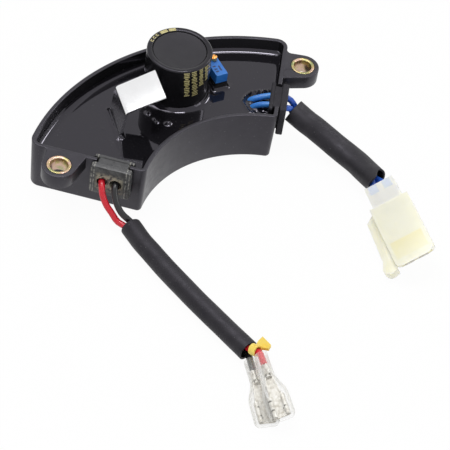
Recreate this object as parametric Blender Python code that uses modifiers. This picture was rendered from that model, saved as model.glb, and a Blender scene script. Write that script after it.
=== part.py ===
"""Potted automatic voltage regulator of a small generator, with its two cable tails.

Metres, +Z up. The origin lies midway between the two mounting holes, on the tray's flat underside.
+X runs from the left hole to the right one, and +Y points at the tray's long outer wall.
"""

from math import atan2, cos, hypot, pi, radians, sin, sqrt

import bmesh
import bpy
from mathutils import Matrix, Vector

# Fits between pieces
GAP = 0.0003
SNUG = 0.00015

# Tray: an arc-shaped open box whose end walls point at the arc's centre
OUTER_RADIUS = 0.0884
TRAY_BREADTH = 0.0441
END_ANGLE = radians(41.8)
TRAY_HEIGHT = 0.022
WALL = 0.0016
FLOOR = 0.002
DRAFT = 0.0245
OUTER_CORNER = 0.0043
INNER_CORNER = 0.0023
LEAST_CORNER = 0.0004
BOTTOM_EDGE = 0.0012
STANDOFF_HEIGHT = 0.0012
STANDOFF_RADIUS = 0.0015
STANDOFF_EDGE = 0.0055

# Ears with their pressed-in sleeves, in the end wall's own directions
EAR_REACH = 0.00674
EAR_INSET = 0.01342
EAR_RADIUS = 0.0063
EAR_THICKNESS = 0.006
EAR_ROOT = 0.0085
EAR_FILLET = 0.0018
SLEEVE_OUTER = 0.0045
SLEEVE_BORE = 0.0033
SLEEVE_PROUD = 0.00015
SLEEVE_CHAMFER = 0.0004
SLEEVE_BORE_BOTTOM = 0.012

# Grommets in the slots of the end walls
GROMMET_INSET = 0.0318
GROMMET_WIDTH = 0.0154
GROMMET_BOTTOM = 0.0084
GROMMET_TOP = 0.0218
GROMMET_NECK_WIDTH = 0.0119
GROMMET_NECK_DROP = 0.00145
GROMMET_FLANGE = 0.0026
GROMMET_INNER_FLANGE = 0.0016
GROMMET_ROUND = 0.0012

# Board, potting and the pieces that stand in it
BOARD_THICKNESS = 0.0016
BOARD_MARGIN = 0.0022
RESIN_TOP = 0.0158
PIT_OFFSET = (-0.0085, 0.0009)
PIT_SIZE = (0.0108, 0.0116)
PIT_DEPTH = 0.0012

CAPACITOR_OFFSET = (0.0086, 0.00335)
CAPACITOR_RADIUS = 0.0124
CAPACITOR_TOP = 0.0358
CAPACITOR_SLEEVE_WALL = 0.00035
CAPACITOR_RIM = 0.0021
CAPACITOR_CROWN = 0.0007
CAPACITOR_DISC_DROP = 0.0009
CAPACITOR_DISC_THICKNESS = 0.0004

TRIMMER_OFFSET = (0.02465, -0.00033)
TRIMMER_TURN = radians(-8.43)
TRIMMER_SIZE = (0.0048, 0.0095, 0.010)
TRIMMER_TOP = 0.023
TRIMMER_PIN = 0.0006
TRIMMER_PIN_PITCH = 0.0025
SCREW_OFFSET = (0.0005, 0.00355)
SCREW_HEAD_RADIUS = 0.0011
SCREW_HEAD_HEIGHT = 0.0017
SCREW_STEM_RADIUS = 0.0007
SCREW_STEM_LENGTH = 0.0035
SCREW_SLOT = (0.0005, 0.0006)
SCREW_SLOT_TURN = radians(30)

PLATE_OFFSET = (-0.02194, -0.00196)
PLATE_TURN = radians(17.9)
PLATE_WIDTH = 0.0145
PLATE_THICKNESS = 0.001
PLATE_LEAN = radians(8.2)
PLATE_BEND_HEIGHT = 0.0276
PLATE_BEND_RADIUS = 0.0014
PLATE_SHELF = 0.0155
PLATE_SHELF_RISE = radians(22.3)

TRANSISTOR_SIZE = (0.0045, 0.0102, 0.0086)
TRANSISTOR_LIFT = 0.0009
TRANSISTOR_LEAD = (0.0005, 0.0008)
TRANSISTOR_LEAD_PITCH = 0.00254
RECTIFIER_INSET = (0.0092, 0.0100)
RECTIFIER_RADIUS = 0.0045
RECTIFIER_HEIGHT = 0.0055
CHIP_OFFSET = (0.0020, -0.0145)
CHIP_SIZE = (0.0190, 0.0064, 0.0034)

# Cables
WIRE_RADIUS = 0.0012
WIRE_SPACING = 0.005
WIRE_SPREAD = 0.0029
SLEEVE_SPACING = 0.006
LEFT_TUBE = (0.0079, 0.0079)
RIGHT_TUBE = (0.0102, 0.0083)
TUBE_WALL = 0.0007

# Where the wires pass the end walls: out of the wall, away from the grommet's middle, up
RED_ENTRY = (
    (-0.0083, 0.0030, 0.0057),
    (-0.0082, 0.0030, 0.0094),
    (-0.0069, 0.0030, 0.0125),
    (-0.0039, 0.0030, 0.0141),
    (0.0000, 0.0030, 0.0144),
    (0.0029, 0.0030, 0.0146),
)
BLACK_ENTRY = (
    (-0.0083, -0.0022, 0.0057),
    (-0.0082, -0.0022, 0.0094),
    (-0.0069, -0.0022, 0.0125),
    (-0.0039, -0.0022, 0.0141),
    (0.0000, -0.0022, 0.0144),
    (0.0034, -0.0022, 0.0146),
)
BLUE_A_ENTRY = (
    (-0.0122, 0.0027, 0.0057),
    (-0.0122, 0.0027, 0.0105),
    (-0.0113, 0.0028, 0.0138),
    (-0.0088, 0.0030, 0.0158),
    (-0.0039, 0.0040, 0.0172),
    (0.0000, 0.0043, 0.0175),
    (0.0034, 0.0043, 0.0170),
)
BLUE_B_ENTRY = (
    (-0.0110, -0.0008, 0.0057),
    (-0.0110, -0.0008, 0.0105),
    (-0.0101, -0.0007, 0.0138),
    (-0.0076, -0.0006, 0.0158),
    (-0.0039, -0.0009, 0.0172),
    (0.0000, -0.0010, 0.0175),
    (0.0034, -0.0010, 0.0170),
)

# Routes outside the tray, chosen by hand
RED_DROP = (
    (-0.0427, -0.0104, 0.0142),
    (-0.0436, -0.0126, 0.0120),
    (-0.0435, -0.0153, 0.0092),
    (-0.0427, -0.0180, 0.0070),
    (-0.0418, -0.0207, 0.0046),
)
BLACK_DROP = (
    (-0.0401, -0.0152, 0.0126),
    (-0.0404, -0.0177, 0.0098),
    (-0.0399, -0.0205, 0.0075),
    (-0.0383, -0.0230, 0.0056),
)
BLUE_A_DROP = ((0.0442, -0.0100, 0.0155),)
BLUE_B_DROP = ((0.0416, -0.0122, 0.0157),)
LEFT_TUBE_ROUTE = (
    (-0.0386, -0.0249, 0.0040),
    (-0.0391, -0.0322, 0.0040),
    (-0.0390, -0.0380, 0.0040),
    (-0.0387, -0.0493, 0.0040),
    (-0.0380, -0.0604, 0.0040),
    (-0.0371, -0.0713, 0.0040),
    (-0.0360, -0.0819, 0.0040),
    (-0.0348, -0.0934, 0.0040),
)
RIGHT_TUBE_ROUTE = (
    (0.0437, -0.0127, 0.0133),
    (0.0456, -0.0173, 0.0116),
    (0.0475, -0.0202, 0.0101),
    (0.0491, -0.0232, 0.0087),
    (0.0506, -0.0263, 0.0074),
    (0.0519, -0.0296, 0.0063),
    (0.0530, -0.0330, 0.0056),
    (0.0538, -0.0368, 0.0053),
    (0.0541, -0.0410, 0.0056),
    (0.0537, -0.0460, 0.0064),
    (0.0529, -0.0514, 0.0078),
)
LEFT_TUBE_TWIST = (0.0, pi / 2)
RIGHT_TUBE_TWIST = (pi, pi + radians(25))

# Flat-plug covers: where each starts, which way it points, its dip and its roll
COVER_LENGTH = 0.0272
COVER_BARREL = (0.0046, 0.0044)
COVER_MOUTH = (0.0093, 0.0036)
COVER_WALL = 0.0004
COVER_FLARE_START = 0.0090
COVER_FLARE = 0.0089
COVER_FLARE_STEPS = 5
BLACK_COVER_START = (-0.0359, -0.0967, 0.0024)
BLACK_COVER_HEADING = radians(22.4)
BLACK_COVER_DIP = radians(1.08)
BLACK_COVER_ROLL = radians(0)
RED_COVER_START = (-0.0340, -0.0992, 0.0074)
RED_COVER_HEADING = radians(19.1)
RED_COVER_DIP = radians(1.6)
RED_COVER_ROLL = radians(20.7)
WIRE_IN_COVER = 0.0046
WIRE_LEAD_IN = 0.0008
PLUG_RECEPTACLE = (0.0062, 0.0019, 0.0082)
PLUG_SHEET = 0.0004
PLUG_CRIMP_SHEET = 0.00024
PLUG_BARREL_LENGTH = 0.0052
PLUG_END_GAP = 0.0010

MARKER_START = 0.0016
MARKER_LENGTH = 0.0028
MARKER_RADIUS = 0.0021
MARKER_BORE = 0.0016
MARKER_SHIFT = (0.0002, 0.0001)
MARKER_FLAG = (0.0070, 0.0010)
MARKER_FLAG_RISE = radians(-4)

# Two-way connector: its rear bottom edge, then sizes across, along and up
CONNECTOR_START = (0.0444, -0.0661, 0.0016)
CONNECTOR_HEADING = radians(15.5)
CONNECTOR_DIP = radians(2.9)
CONNECTOR_ROLL = radians(29.5)
CONNECTOR_SIZE = (0.0154, 0.0277, 0.00975)
CONNECTOR_WALL = 0.0014
CONNECTOR_MOUTH_DEPTH = 0.0106
CONNECTOR_MOUTH_ROUND = (0.0020, 0.0034)
REAR_BLOCK_SIZE = (0.0117, 0.0099, 0.0081)
REAR_BLOCK_OFFSET = (0.0016, 0.0008)
CELL_SIZE = (0.0045, 0.0064)
CELL_PITCH = 0.0056
LATCH_BOTTOM = 0.0030
LATCH_HEIGHT = 0.0038
LATCH_GAP = 0.0010
LATCH_REACH = 0.0040
LATCH_ROOT = 0.0140
LATCH_SHOULDER = (0.0007, 0.0030)
LATCH_SLANT = 0.0008
LATCH_FOOT_START = 0.0066
LATCH_FOOT_CENTRE = (0.0012, 0.0034)
LATCH_FOOT_RADIUS = 0.0025
LATCH_FOOT_END = 0.0048
TAB_SIZE = (0.0038, 0.0008)
TAB_REACH = 0.0070
WIRE_IN_CELL = 0.0060

# Facets
ROUND_STEPS = 40
WIRE_SIDES = 2
TUBE_SIDES = 16
BORE_POINTS = 7
FILLET_STEPS = 4
OUTER_ARC_STEPS = 18
INNER_ARC_STEPS = 11
CURVE_STEPS = 12

# Sizes that follow
INNER_RADIUS = OUTER_RADIUS - TRAY_BREADTH
EAR_ALONG = OUTER_RADIUS - EAR_INSET
ARC_CENTRE_Y = -(EAR_ALONG * cos(END_ANGLE) - EAR_REACH * sin(END_ANGLE))
GROMMET_ALONG = OUTER_RADIUS - GROMMET_INSET
MIDDLE_Y = ARC_CENTRE_Y + (OUTER_RADIUS + INNER_RADIUS) / 2
CAPACITOR_CENTRE = (CAPACITOR_OFFSET[0], MIDDLE_Y + CAPACITOR_OFFSET[1])
TRIMMER_CENTRE = (TRIMMER_OFFSET[0], MIDDLE_Y + TRIMMER_OFFSET[1])
PLATE_FOOT = (PLATE_OFFSET[0], MIDDLE_Y + PLATE_OFFSET[1])
CHIP_CENTRE = (CHIP_OFFSET[0], MIDDLE_Y + CHIP_OFFSET[1])
BOARD_BOTTOM = FLOOR + STANDOFF_HEIGHT + GAP
BOARD_TOP = BOARD_BOTTOM + BOARD_THICKNESS
SEAT = BOARD_TOP + GAP
ABOVE = TRAY_HEIGHT + 0.01


def clear_scene():
    for found in list(bpy.data.objects):
        bpy.data.objects.remove(found)


def collection(name):
    group = bpy.data.collections.new(name)
    bpy.context.scene.collection.children.link(group)
    return group


def material(name, colour, roughness, metallic=0.0, alpha=1.0):
    made = bpy.data.materials.new(name)
    made.use_nodes = True
    shader = made.node_tree.nodes["Principled BSDF"]
    shader.inputs["Base Color"].default_value = (*colour, 1.0)
    shader.inputs["Roughness"].default_value = roughness
    shader.inputs["Metallic"].default_value = metallic
    shader.inputs["Alpha"].default_value = alpha
    return made


clear_scene()
PARTS = collection("voltage_regulator")
CUTTERS = collection("cutters")


def place(name, data, matrix=None, looks=None):
    """Adds mesh or curve data as a part of the model, or as a cutter where it has no looks."""
    added = bpy.data.objects.new(name, data)
    if matrix is not None:
        added.matrix_world = matrix
    if looks is None:
        CUTTERS.objects.link(added)
        added.hide_render = True
        added.display_type = "WIRE"
    else:
        PARTS.objects.link(added)
        data.materials.append(looks)
        if hasattr(data, "shade_smooth"):
            data.shade_smooth()
            data.set_sharp_from_angle(angle=radians(35))
    return added


def combine(target, tool, operation):
    modifier = target.modifiers.new(tool.name, "BOOLEAN")
    modifier.operation = operation
    modifier.object = tool
    modifier.solver = "EXACT"


def cut(target, *tools):
    for tool in tools:
        combine(target, tool, "DIFFERENCE")


def join(target, *tools):
    for tool in tools:
        combine(target, tool, "UNION")


def mesh_from_curve(curve):
    """The curve's own surface as a mesh, with its caps welded on."""
    holder = bpy.data.objects.new(curve.name, curve)
    bpy.context.scene.collection.objects.link(holder)
    graph = bpy.context.evaluated_depsgraph_get()
    mesh = bpy.data.meshes.new_from_object(holder.evaluated_get(graph))
    bpy.data.objects.remove(holder)
    weld = bmesh.new()
    weld.from_mesh(mesh)
    bmesh.ops.remove_doubles(weld, verts=weld.verts, dist=1e-6)
    weld.to_mesh(mesh)
    weld.free()
    return mesh


def loft(name, rings, closed=False):
    """A skin over rings of equal point counts, capped unless it closes on itself."""
    bm = bmesh.new()
    loops = [[bm.verts.new(point) for point in ring] for ring in rings]
    spans = list(zip(loops, loops[1:]))
    if closed:
        spans.append((loops[-1], loops[0]))
    else:
        bm.faces.new(loops[0])
        bm.faces.new(loops[-1])
    for near, far in spans:
        for here in range(len(near)):
            there = here - 1
            bm.faces.new((near[there], near[here], far[here], far[there]))
    bmesh.ops.recalc_face_normals(bm, faces=bm.faces)
    mesh = bpy.data.meshes.new(name)
    bm.to_mesh(mesh)
    bm.free()
    return mesh


def box(name, low, high):
    """A box between two corners."""
    bm = bmesh.new()
    bmesh.ops.create_cube(bm, size=1.0)
    low = Vector(low)
    high = Vector(high)
    stretch = Matrix.Diagonal((*(high - low), 1.0))
    bm.transform(Matrix.Translation((low + high) / 2) @ stretch)
    mesh = bpy.data.meshes.new(name)
    bm.to_mesh(mesh)
    bm.free()
    return mesh


def prism(name, outlines, height):
    """Flat outlines, holes included, thickened to a height about their own plane."""
    curve = bpy.data.curves.new(name, "CURVE")
    curve.dimensions = "2D"
    curve.fill_mode = "BOTH"
    curve.extrude = height / 2
    for outline in outlines:
        spline = curve.splines.new("POLY")
        spline.points.add(len(outline) - 1)
        spline.use_cyclic_u = True
        for point, (x, y) in zip(spline.points, outline):
            point.co = (x, y, 0.0, 1.0)
    return mesh_from_curve(curve)


def wire_curve(name, points, radius):
    """A round wire along points, with filled ends."""
    curve = bpy.data.curves.new(name, "CURVE")
    curve.dimensions = "3D"
    curve.bevel_depth = radius
    curve.bevel_resolution = WIRE_SIDES
    curve.use_fill_caps = True
    spline = curve.splines.new("POLY")
    spline.points.add(len(points) - 1)
    for point, co in zip(spline.points, points):
        point.co = (*co, 1.0)
    return curve


def turned(name, profile, closed=False):
    """A profile of radii and heights, running down its outer side, turned about Z."""
    mesh = bpy.data.meshes.new(name)
    edges = [(n, n + 1) for n in range(len(profile) - 1)]
    if closed:
        edges.append((len(profile) - 1, 0))
    mesh.from_pydata([(radius, 0.0, height) for radius, height in profile], edges, [])
    return mesh


def turn(target):
    screw = target.modifiers.new("turn", "SCREW")
    screw.steps = ROUND_STEPS
    screw.render_steps = ROUND_STEPS
    screw.use_merge_vertices = True
    screw.merge_threshold = 0.00001


def arc(centre, radius, start, end, steps):
    """Points on an arc, with angles measured from +X towards +Y."""
    angles = [start + (end - start) * n / steps for n in range(steps + 1)]
    return [(centre[0] + radius * cos(a), centre[1] + radius * sin(a)) for a in angles]


def end_matrix(side):
    """The frame of an end wall: X out of the wall times side, Y away from the arc's centre."""
    return Matrix.Translation((0, ARC_CENTRE_Y, 0)) @ Matrix.Rotation(-side * END_ANGLE, 4, "Z")


def end_point(side, out, along, up):
    return end_matrix(side) @ Vector((side * out, along, up))


def draft_inset(height):
    return (TRAY_HEIGHT - height) * DRAFT


def sector_ring(inset, height):
    """The tray's outline in plan, moved inwards by an inset, as one closed ring."""
    outer = OUTER_RADIUS - inset
    inner = INNER_RADIUS + inset
    outer_fillet = max(OUTER_CORNER - inset, LEAST_CORNER)
    inner_fillet = max(INNER_CORNER - inset, LEAST_CORNER)
    outer_along = sqrt((outer - outer_fillet) ** 2 - (inset + outer_fillet) ** 2)
    inner_along = sqrt((inner + inner_fillet) ** 2 - (inset + inner_fillet) ** 2)
    outer_turn = END_ANGLE - atan2(inset + outer_fillet, outer_along)
    inner_turn = END_ANGLE - atan2(inset + inner_fillet, inner_along)
    outer_centre = (
        outer_along * sin(END_ANGLE) - (inset + outer_fillet) * cos(END_ANGLE),
        outer_along * cos(END_ANGLE) + (inset + outer_fillet) * sin(END_ANGLE),
    )
    inner_centre = (
        inner_along * sin(END_ANGLE) - (inset + inner_fillet) * cos(END_ANGLE),
        inner_along * cos(END_ANGLE) + (inset + inner_fillet) * sin(END_ANGLE),
    )
    right = arc((0, 0), outer, pi / 2, pi / 2 - outer_turn, OUTER_ARC_STEPS)[:-1]
    right += arc(outer_centre, outer_fillet, pi / 2 - outer_turn, -END_ANGLE, FILLET_STEPS)
    right += arc(inner_centre, inner_fillet, -END_ANGLE, -pi / 2 - inner_turn, FILLET_STEPS)
    right += arc((0, 0), inner, pi / 2 - inner_turn, pi / 2, INNER_ARC_STEPS)[1:]
    left = [(-x, y) for x, y in reversed(right[1:-1])]
    return [Vector((x, y + ARC_CENTRE_Y, height)) for x, y in right + left]


def smooth_route(points, spacing):
    """Points about a spacing apart on a smooth curve through the route's own points."""
    route = [Vector(point) for point in points]
    route = [2 * route[0] - route[1], *route, 2 * route[-1] - route[-2]]
    fine = []
    for a, b, c, d in zip(route, route[1:], route[2:], route[3:]):
        for n in range(CURVE_STEPS):
            t = n / CURVE_STEPS
            square = 2 * a - 5 * b + 4 * c - d
            cube = 3 * b - a - 3 * c + d
            fine.append((2 * b + (c - a) * t + square * t * t + cube * t ** 3) / 2)
    fine.append(route[-2])
    reached = [0.0]
    for near, far in zip(fine, fine[1:]):
        reached.append(reached[-1] + (far - near).length)
    count = max(2, round(reached[-1] / spacing))
    even = []
    at = 0
    for n in range(count + 1):
        wanted = reached[-1] * n / count
        while at < len(fine) - 2 and reached[at + 1] < wanted:
            at += 1
        part = (wanted - reached[at]) / (reached[at + 1] - reached[at])
        even.append(fine[at].lerp(fine[at + 1], part))
    return even


def cross_frames(points):
    """At each point of a route: its direction, the level side direction and the one above."""
    frames = []
    for n, point in enumerate(points):
        ahead = points[min(n + 1, len(points) - 1)] - points[max(n - 1, 0)]
        ahead.normalize()
        side = ahead.cross(Vector((0, 0, 1))).normalized()
        frames.append((point, side, side.cross(ahead)))
    return frames


def pair_in_tube(route, twist, sense):
    """The middle line of one of two wires that lie side by side in a tube."""
    points = smooth_route(route, SLEEVE_SPACING)
    line = []
    for n, (point, side, above) in enumerate(cross_frames(points)):
        angle = twist[0] + (twist[1] - twist[0]) * n / (len(points) - 1)
        reach = sense * WIRE_SPREAD / 2
        line.append(point + side * (reach * cos(angle)) + above * (reach * sin(angle)))
    return line


def oval_rings(frames, width, height):
    """Rings of an oval section across each frame of a route."""
    turns = [2 * pi * n / TUBE_SIDES for n in range(TUBE_SIDES)]
    rings = []
    for point, side, above in frames:
        rings.append([point + side * (width * cos(a)) + above * (height * sin(a)) for a in turns])
    return rings


def tube_sleeve(name, route, size, looks):
    """A hollow sleeve of oval section along a route, open at both ends."""
    frames = cross_frames(smooth_route(route, SLEEVE_SPACING))
    width, height = size
    outside = oval_rings(frames, width / 2, height / 2)
    inside = oval_rings(frames, width / 2 - TUBE_WALL, height / 2 - TUBE_WALL)
    place(name, loft(name, outside + inside[::-1], closed=True), looks=looks)


def lying_matrix(start, heading, dip, roll):
    """A frame with -Y along a heading from world -Y towards -X, +X rolled upwards."""
    turn_down = Matrix.Rotation(-heading, 4, "Z") @ Matrix.Rotation(dip, 4, "X")
    return Matrix.Translation(start) @ turn_down @ Matrix.Rotation(-roll, 4, "Y")


def ring_outline(radius, steps=20):
    return arc((0, 0), radius, 0, 2 * pi * (steps - 1) / steps, steps - 1)


# Tray


def ear_outline(side):
    """The ear in the end wall's frame: round end, straight outer side, slanted inner side."""
    centre = (EAR_REACH, EAR_ALONG)
    root = (-WALL / 2, EAR_ALONG - EAR_ROOT)
    to_root = (root[0] - centre[0], root[1] - centre[1])
    slant = atan2(to_root[1], to_root[0]) + atan2(
        sqrt(hypot(*to_root) ** 2 - EAR_RADIUS ** 2), EAR_RADIUS
    )
    edge = EAR_ALONG + EAR_RADIUS
    outline = [root]
    outline += arc(centre, EAR_RADIUS, slant, pi / 2, 20)
    outline += arc((EAR_FILLET, edge + EAR_FILLET), EAR_FILLET, -pi / 2, -pi, 5)
    outline.append((-WALL / 2, edge + EAR_FILLET))
    return [(side * x, y) for x, y in outline]


def make_tray(looks):
    rings = []
    for n in range(4):
        turn_angle = n * pi / 6
        height = BOTTOM_EDGE * (1 - cos(turn_angle))
        rings.append(sector_ring(draft_inset(height) + BOTTOM_EDGE * (1 - sin(turn_angle)), height))
    rings.append(sector_ring(0, TRAY_HEIGHT))
    rings.append(sector_ring(WALL, TRAY_HEIGHT))
    rings.append(sector_ring(WALL + draft_inset(FLOOR), FLOOR))
    tray = place("housing", loft("housing", rings), looks=looks)
    for side, word in ((-1, "left"), (1, "right")):
        frame = end_matrix(side)
        middle = Matrix.Translation((0, 0, TRAY_HEIGHT - EAR_THICKNESS / 2))
        ear = prism(word + "_ear", [ear_outline(side)], EAR_THICKNESS)
        join(tray, place(word + "_ear", ear, frame @ middle))
    for side, word in ((-1, "left"), (1, "right")):
        cut(tray, sleeve_bore(side, word), grommet_slot(side, word))
    top = FLOOR + STANDOFF_HEIGHT
    for n, (side, radius) in enumerate(standoff_places()):
        profile = [(0, top), (STANDOFF_RADIUS, top), (STANDOFF_RADIUS, FLOOR / 2), (0, FLOOR / 2)]
        spot = end_point(side, -STANDOFF_EDGE - BOARD_MARGIN, radius, 0)
        added = place("standoff_%d" % n, turned("standoff", profile), Matrix.Translation(spot))
        turn(added)
        join(tray, added)
    return tray


def standoff_places():
    near = INNER_RADIUS + WALL + STANDOFF_EDGE
    far = OUTER_RADIUS - WALL - STANDOFF_EDGE - BOARD_MARGIN
    return [(side, radius) for side in (-1, 1) for radius in (near, far)]


def sleeve_bore(side, word):
    reach = SLEEVE_OUTER + SNUG
    low = SLEEVE_BORE_BOTTOM
    bore = turned(word + "_bore", [(0, ABOVE), (reach, ABOVE), (reach, low), (0, low)])
    cutter = place(word + "_bore", bore, Matrix.Translation(end_point(side, EAR_REACH, EAR_ALONG, 0)))
    turn(cutter)
    return cutter


def grommet_slot(side, word):
    half = GROMMET_NECK_WIDTH / 2 + GAP
    bottom = GROMMET_BOTTOM + GROMMET_NECK_DROP - GAP
    slot = box(
        word + "_slot",
        (-3 * WALL, GROMMET_ALONG - half, bottom),
        (3 * WALL, GROMMET_ALONG + half, ABOVE),
    )
    return place(word + "_slot", slot, end_matrix(side))


def make_ear_sleeve(side, word, looks):
    bottom = TRAY_HEIGHT - EAR_THICKNESS - SLEEVE_PROUD
    top = TRAY_HEIGHT + SLEEVE_PROUD
    outer = SLEEVE_OUTER
    bore = SLEEVE_BORE
    chamfer = SLEEVE_CHAMFER
    profile = [
        (bore + chamfer, top),
        (outer - chamfer / 2, top),
        (outer, top - chamfer / 2),
        (outer, bottom + chamfer / 2),
        (outer - chamfer / 2, bottom),
        (bore + chamfer, bottom),
        (bore, bottom + chamfer),
        (bore, top - chamfer),
    ]
    spot = Matrix.Translation(end_point(side, EAR_REACH, EAR_ALONG, 0))
    turn(place(word + "_ear_sleeve", turned(word + "_ear_sleeve", profile, closed=True), spot, looks))


# Cable glands


def grommet_ring(out, half_width, bottom, top, side):
    """A rounded rectangle standing across the wall, at a distance out of it."""
    corner = GROMMET_ROUND
    ring = []
    for turn_start, y, z in (
        (0, half_width - corner, top - corner),
        (pi / 2, -half_width + corner, top - corner),
        (pi, -half_width + corner, bottom + corner),
        (3 * pi / 2, half_width - corner, bottom + corner),
    ):
        for across, up in arc((y, z), corner, turn_start, turn_start + pi / 2, 3):
            ring.append(Vector((side * out, GROMMET_ALONG + across, up)))
    return ring


def make_grommet(side, word, bores, looks):
    half = GROMMET_WIDTH / 2
    neck = GROMMET_NECK_WIDTH / 2
    neck_bottom = GROMMET_BOTTOM + GROMMET_NECK_DROP
    outside = GAP
    inside = -WALL - draft_inset(GROMMET_BOTTOM) - GAP
    rings = [
        grommet_ring(outside + GROMMET_FLANGE, half, GROMMET_BOTTOM, GROMMET_TOP, side),
        grommet_ring(outside, half, GROMMET_BOTTOM, GROMMET_TOP, side),
        grommet_ring(outside, neck, neck_bottom, GROMMET_TOP - GAP, side),
        grommet_ring(inside, neck, neck_bottom, GROMMET_TOP - GAP, side),
        grommet_ring(inside, half, GROMMET_BOTTOM, GROMMET_TOP, side),
        grommet_ring(inside - GROMMET_INNER_FLANGE, half, GROMMET_BOTTOM, GROMMET_TOP, side),
    ]
    name = word + "_grommet"
    cut(place(name, loft(name, rings), end_matrix(side), looks), *bores)


def grommet_pocket(side, word):
    """The room that the grommet's inner flange takes in the potting."""
    half = GROMMET_WIDTH / 2 + GAP
    inside = WALL + draft_inset(GROMMET_BOTTOM) + 2 * GAP + GROMMET_INNER_FLANGE
    low = (min(-side * inside, side * WALL), GROMMET_ALONG - half, GROMMET_BOTTOM - GAP)
    high = (max(-side * inside, side * WALL), GROMMET_ALONG + half, ABOVE)
    return place(word + "_pocket", box(word + "_pocket", low, high), end_matrix(side))


# Potting and board


def make_board(looks):
    margin = WALL + draft_inset(FLOOR) + BOARD_MARGIN
    rings = [sector_ring(margin, BOARD_BOTTOM), sector_ring(margin, BOARD_TOP)]
    place("circuit_board", loft("circuit_board", rings), looks=looks)


def make_resin(cutters, looks):
    bottom = FLOOR + GAP
    rings = [
        sector_ring(WALL + draft_inset(bottom) + GAP, bottom),
        sector_ring(WALL + draft_inset(RESIN_TOP) + GAP, RESIN_TOP),
    ]
    resin = place("potting_resin", loft("potting_resin", rings), looks=looks)
    margin = WALL + draft_inset(FLOOR) + BOARD_MARGIN - GAP
    rings = [sector_ring(margin, 0), sector_ring(margin, SEAT)]
    pocket = place("board_pocket", loft("board_pocket", rings))
    width, length = PIT_SIZE
    pit = [(x * width / 2, y * length / 2) for x, y in ring_outline(1.0, 24)]
    crater = prism("wire_pit", [pit], 2 * PIT_DEPTH)
    middle = Matrix.Translation((PIT_OFFSET[0], GROMMET_ALONG + PIT_OFFSET[1], RESIN_TOP))
    cut(resin, pocket, place("wire_pit", crater, end_matrix(1) @ middle), *cutters)


# Capacitor


def make_capacitor(can_looks, sleeve_looks, disc_looks):
    """A can with an insulating disc in its recessed top, and a shrunk film that laps over the disc."""
    spot = Matrix.Translation((*CAPACITOR_CENTRE, 0))
    outer = CAPACITOR_RADIUS
    wall = CAPACITOR_SLEEVE_WALL
    can = outer - wall - SNUG
    crown = CAPACITOR_CROWN
    can_top = CAPACITOR_TOP - wall - SNUG
    disc_top = CAPACITOR_TOP - CAPACITOR_DISC_DROP
    disc_bottom = disc_top - CAPACITOR_DISC_THICKNESS
    recess = can - crown
    can_profile = [(0, disc_bottom - GAP), (recess, disc_bottom - GAP)]
    can_profile += arc((can - crown, can_top - crown), crown, pi / 2, 0, 4)
    can_profile += [(can, SEAT), (0, SEAT)]
    turn(place("capacitor_can", turned("capacitor_can", can_profile), spot, can_looks))
    edge = recess - GAP
    disc_profile = [(0, disc_top), (edge, disc_top), (edge, disc_bottom), (0, disc_bottom)]
    turn(place("capacitor_disc", turned("capacitor_disc", disc_profile), spot, disc_looks))
    top = CAPACITOR_TOP
    rim_inner = outer - CAPACITOR_RIM
    sleeve_profile = [(rim_inner, top)]
    sleeve_profile += arc((outer - crown, top - crown), crown, pi / 2, 0, 5)
    sleeve_profile += [(outer, SEAT), (outer - wall, SEAT)]
    sleeve_profile += arc((outer - crown, top - crown), crown - wall, 0, pi / 2, 5)
    sleeve_profile += [(rim_inner, top - wall)]
    sleeve = turned("capacitor_sleeve", sleeve_profile, closed=True)
    turn(place("capacitor_sleeve", sleeve, spot, sleeve_looks))


def capacitor_hole():
    reach = CAPACITOR_RADIUS + GAP
    hole = place(
        "capacitor_hole",
        turned("capacitor_hole", [(0, ABOVE), (reach, ABOVE), (reach, FLOOR), (0, FLOOR)]),
        Matrix.Translation((*CAPACITOR_CENTRE, 0)),
    )
    turn(hole)
    return hole


# Trimmer


def trimmer_matrix():
    return Matrix.Translation((*TRIMMER_CENTRE, 0)) @ Matrix.Rotation(TRIMMER_TURN, 4, "Z")


def trimmer_pins(grow, bottom, top):
    """Three pins in a row along the body, each grown by a clearance."""
    half = TRIMMER_PIN / 2 + grow
    pins = []
    for n in (-1, 0, 1):
        y = n * TRIMMER_PIN_PITCH
        pin = box("trimmer_pin", (-half, y - half, bottom), (half, y + half, top))
        pins.append(place("trimmer_pin", pin, trimmer_matrix()))
    return pins


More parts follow.
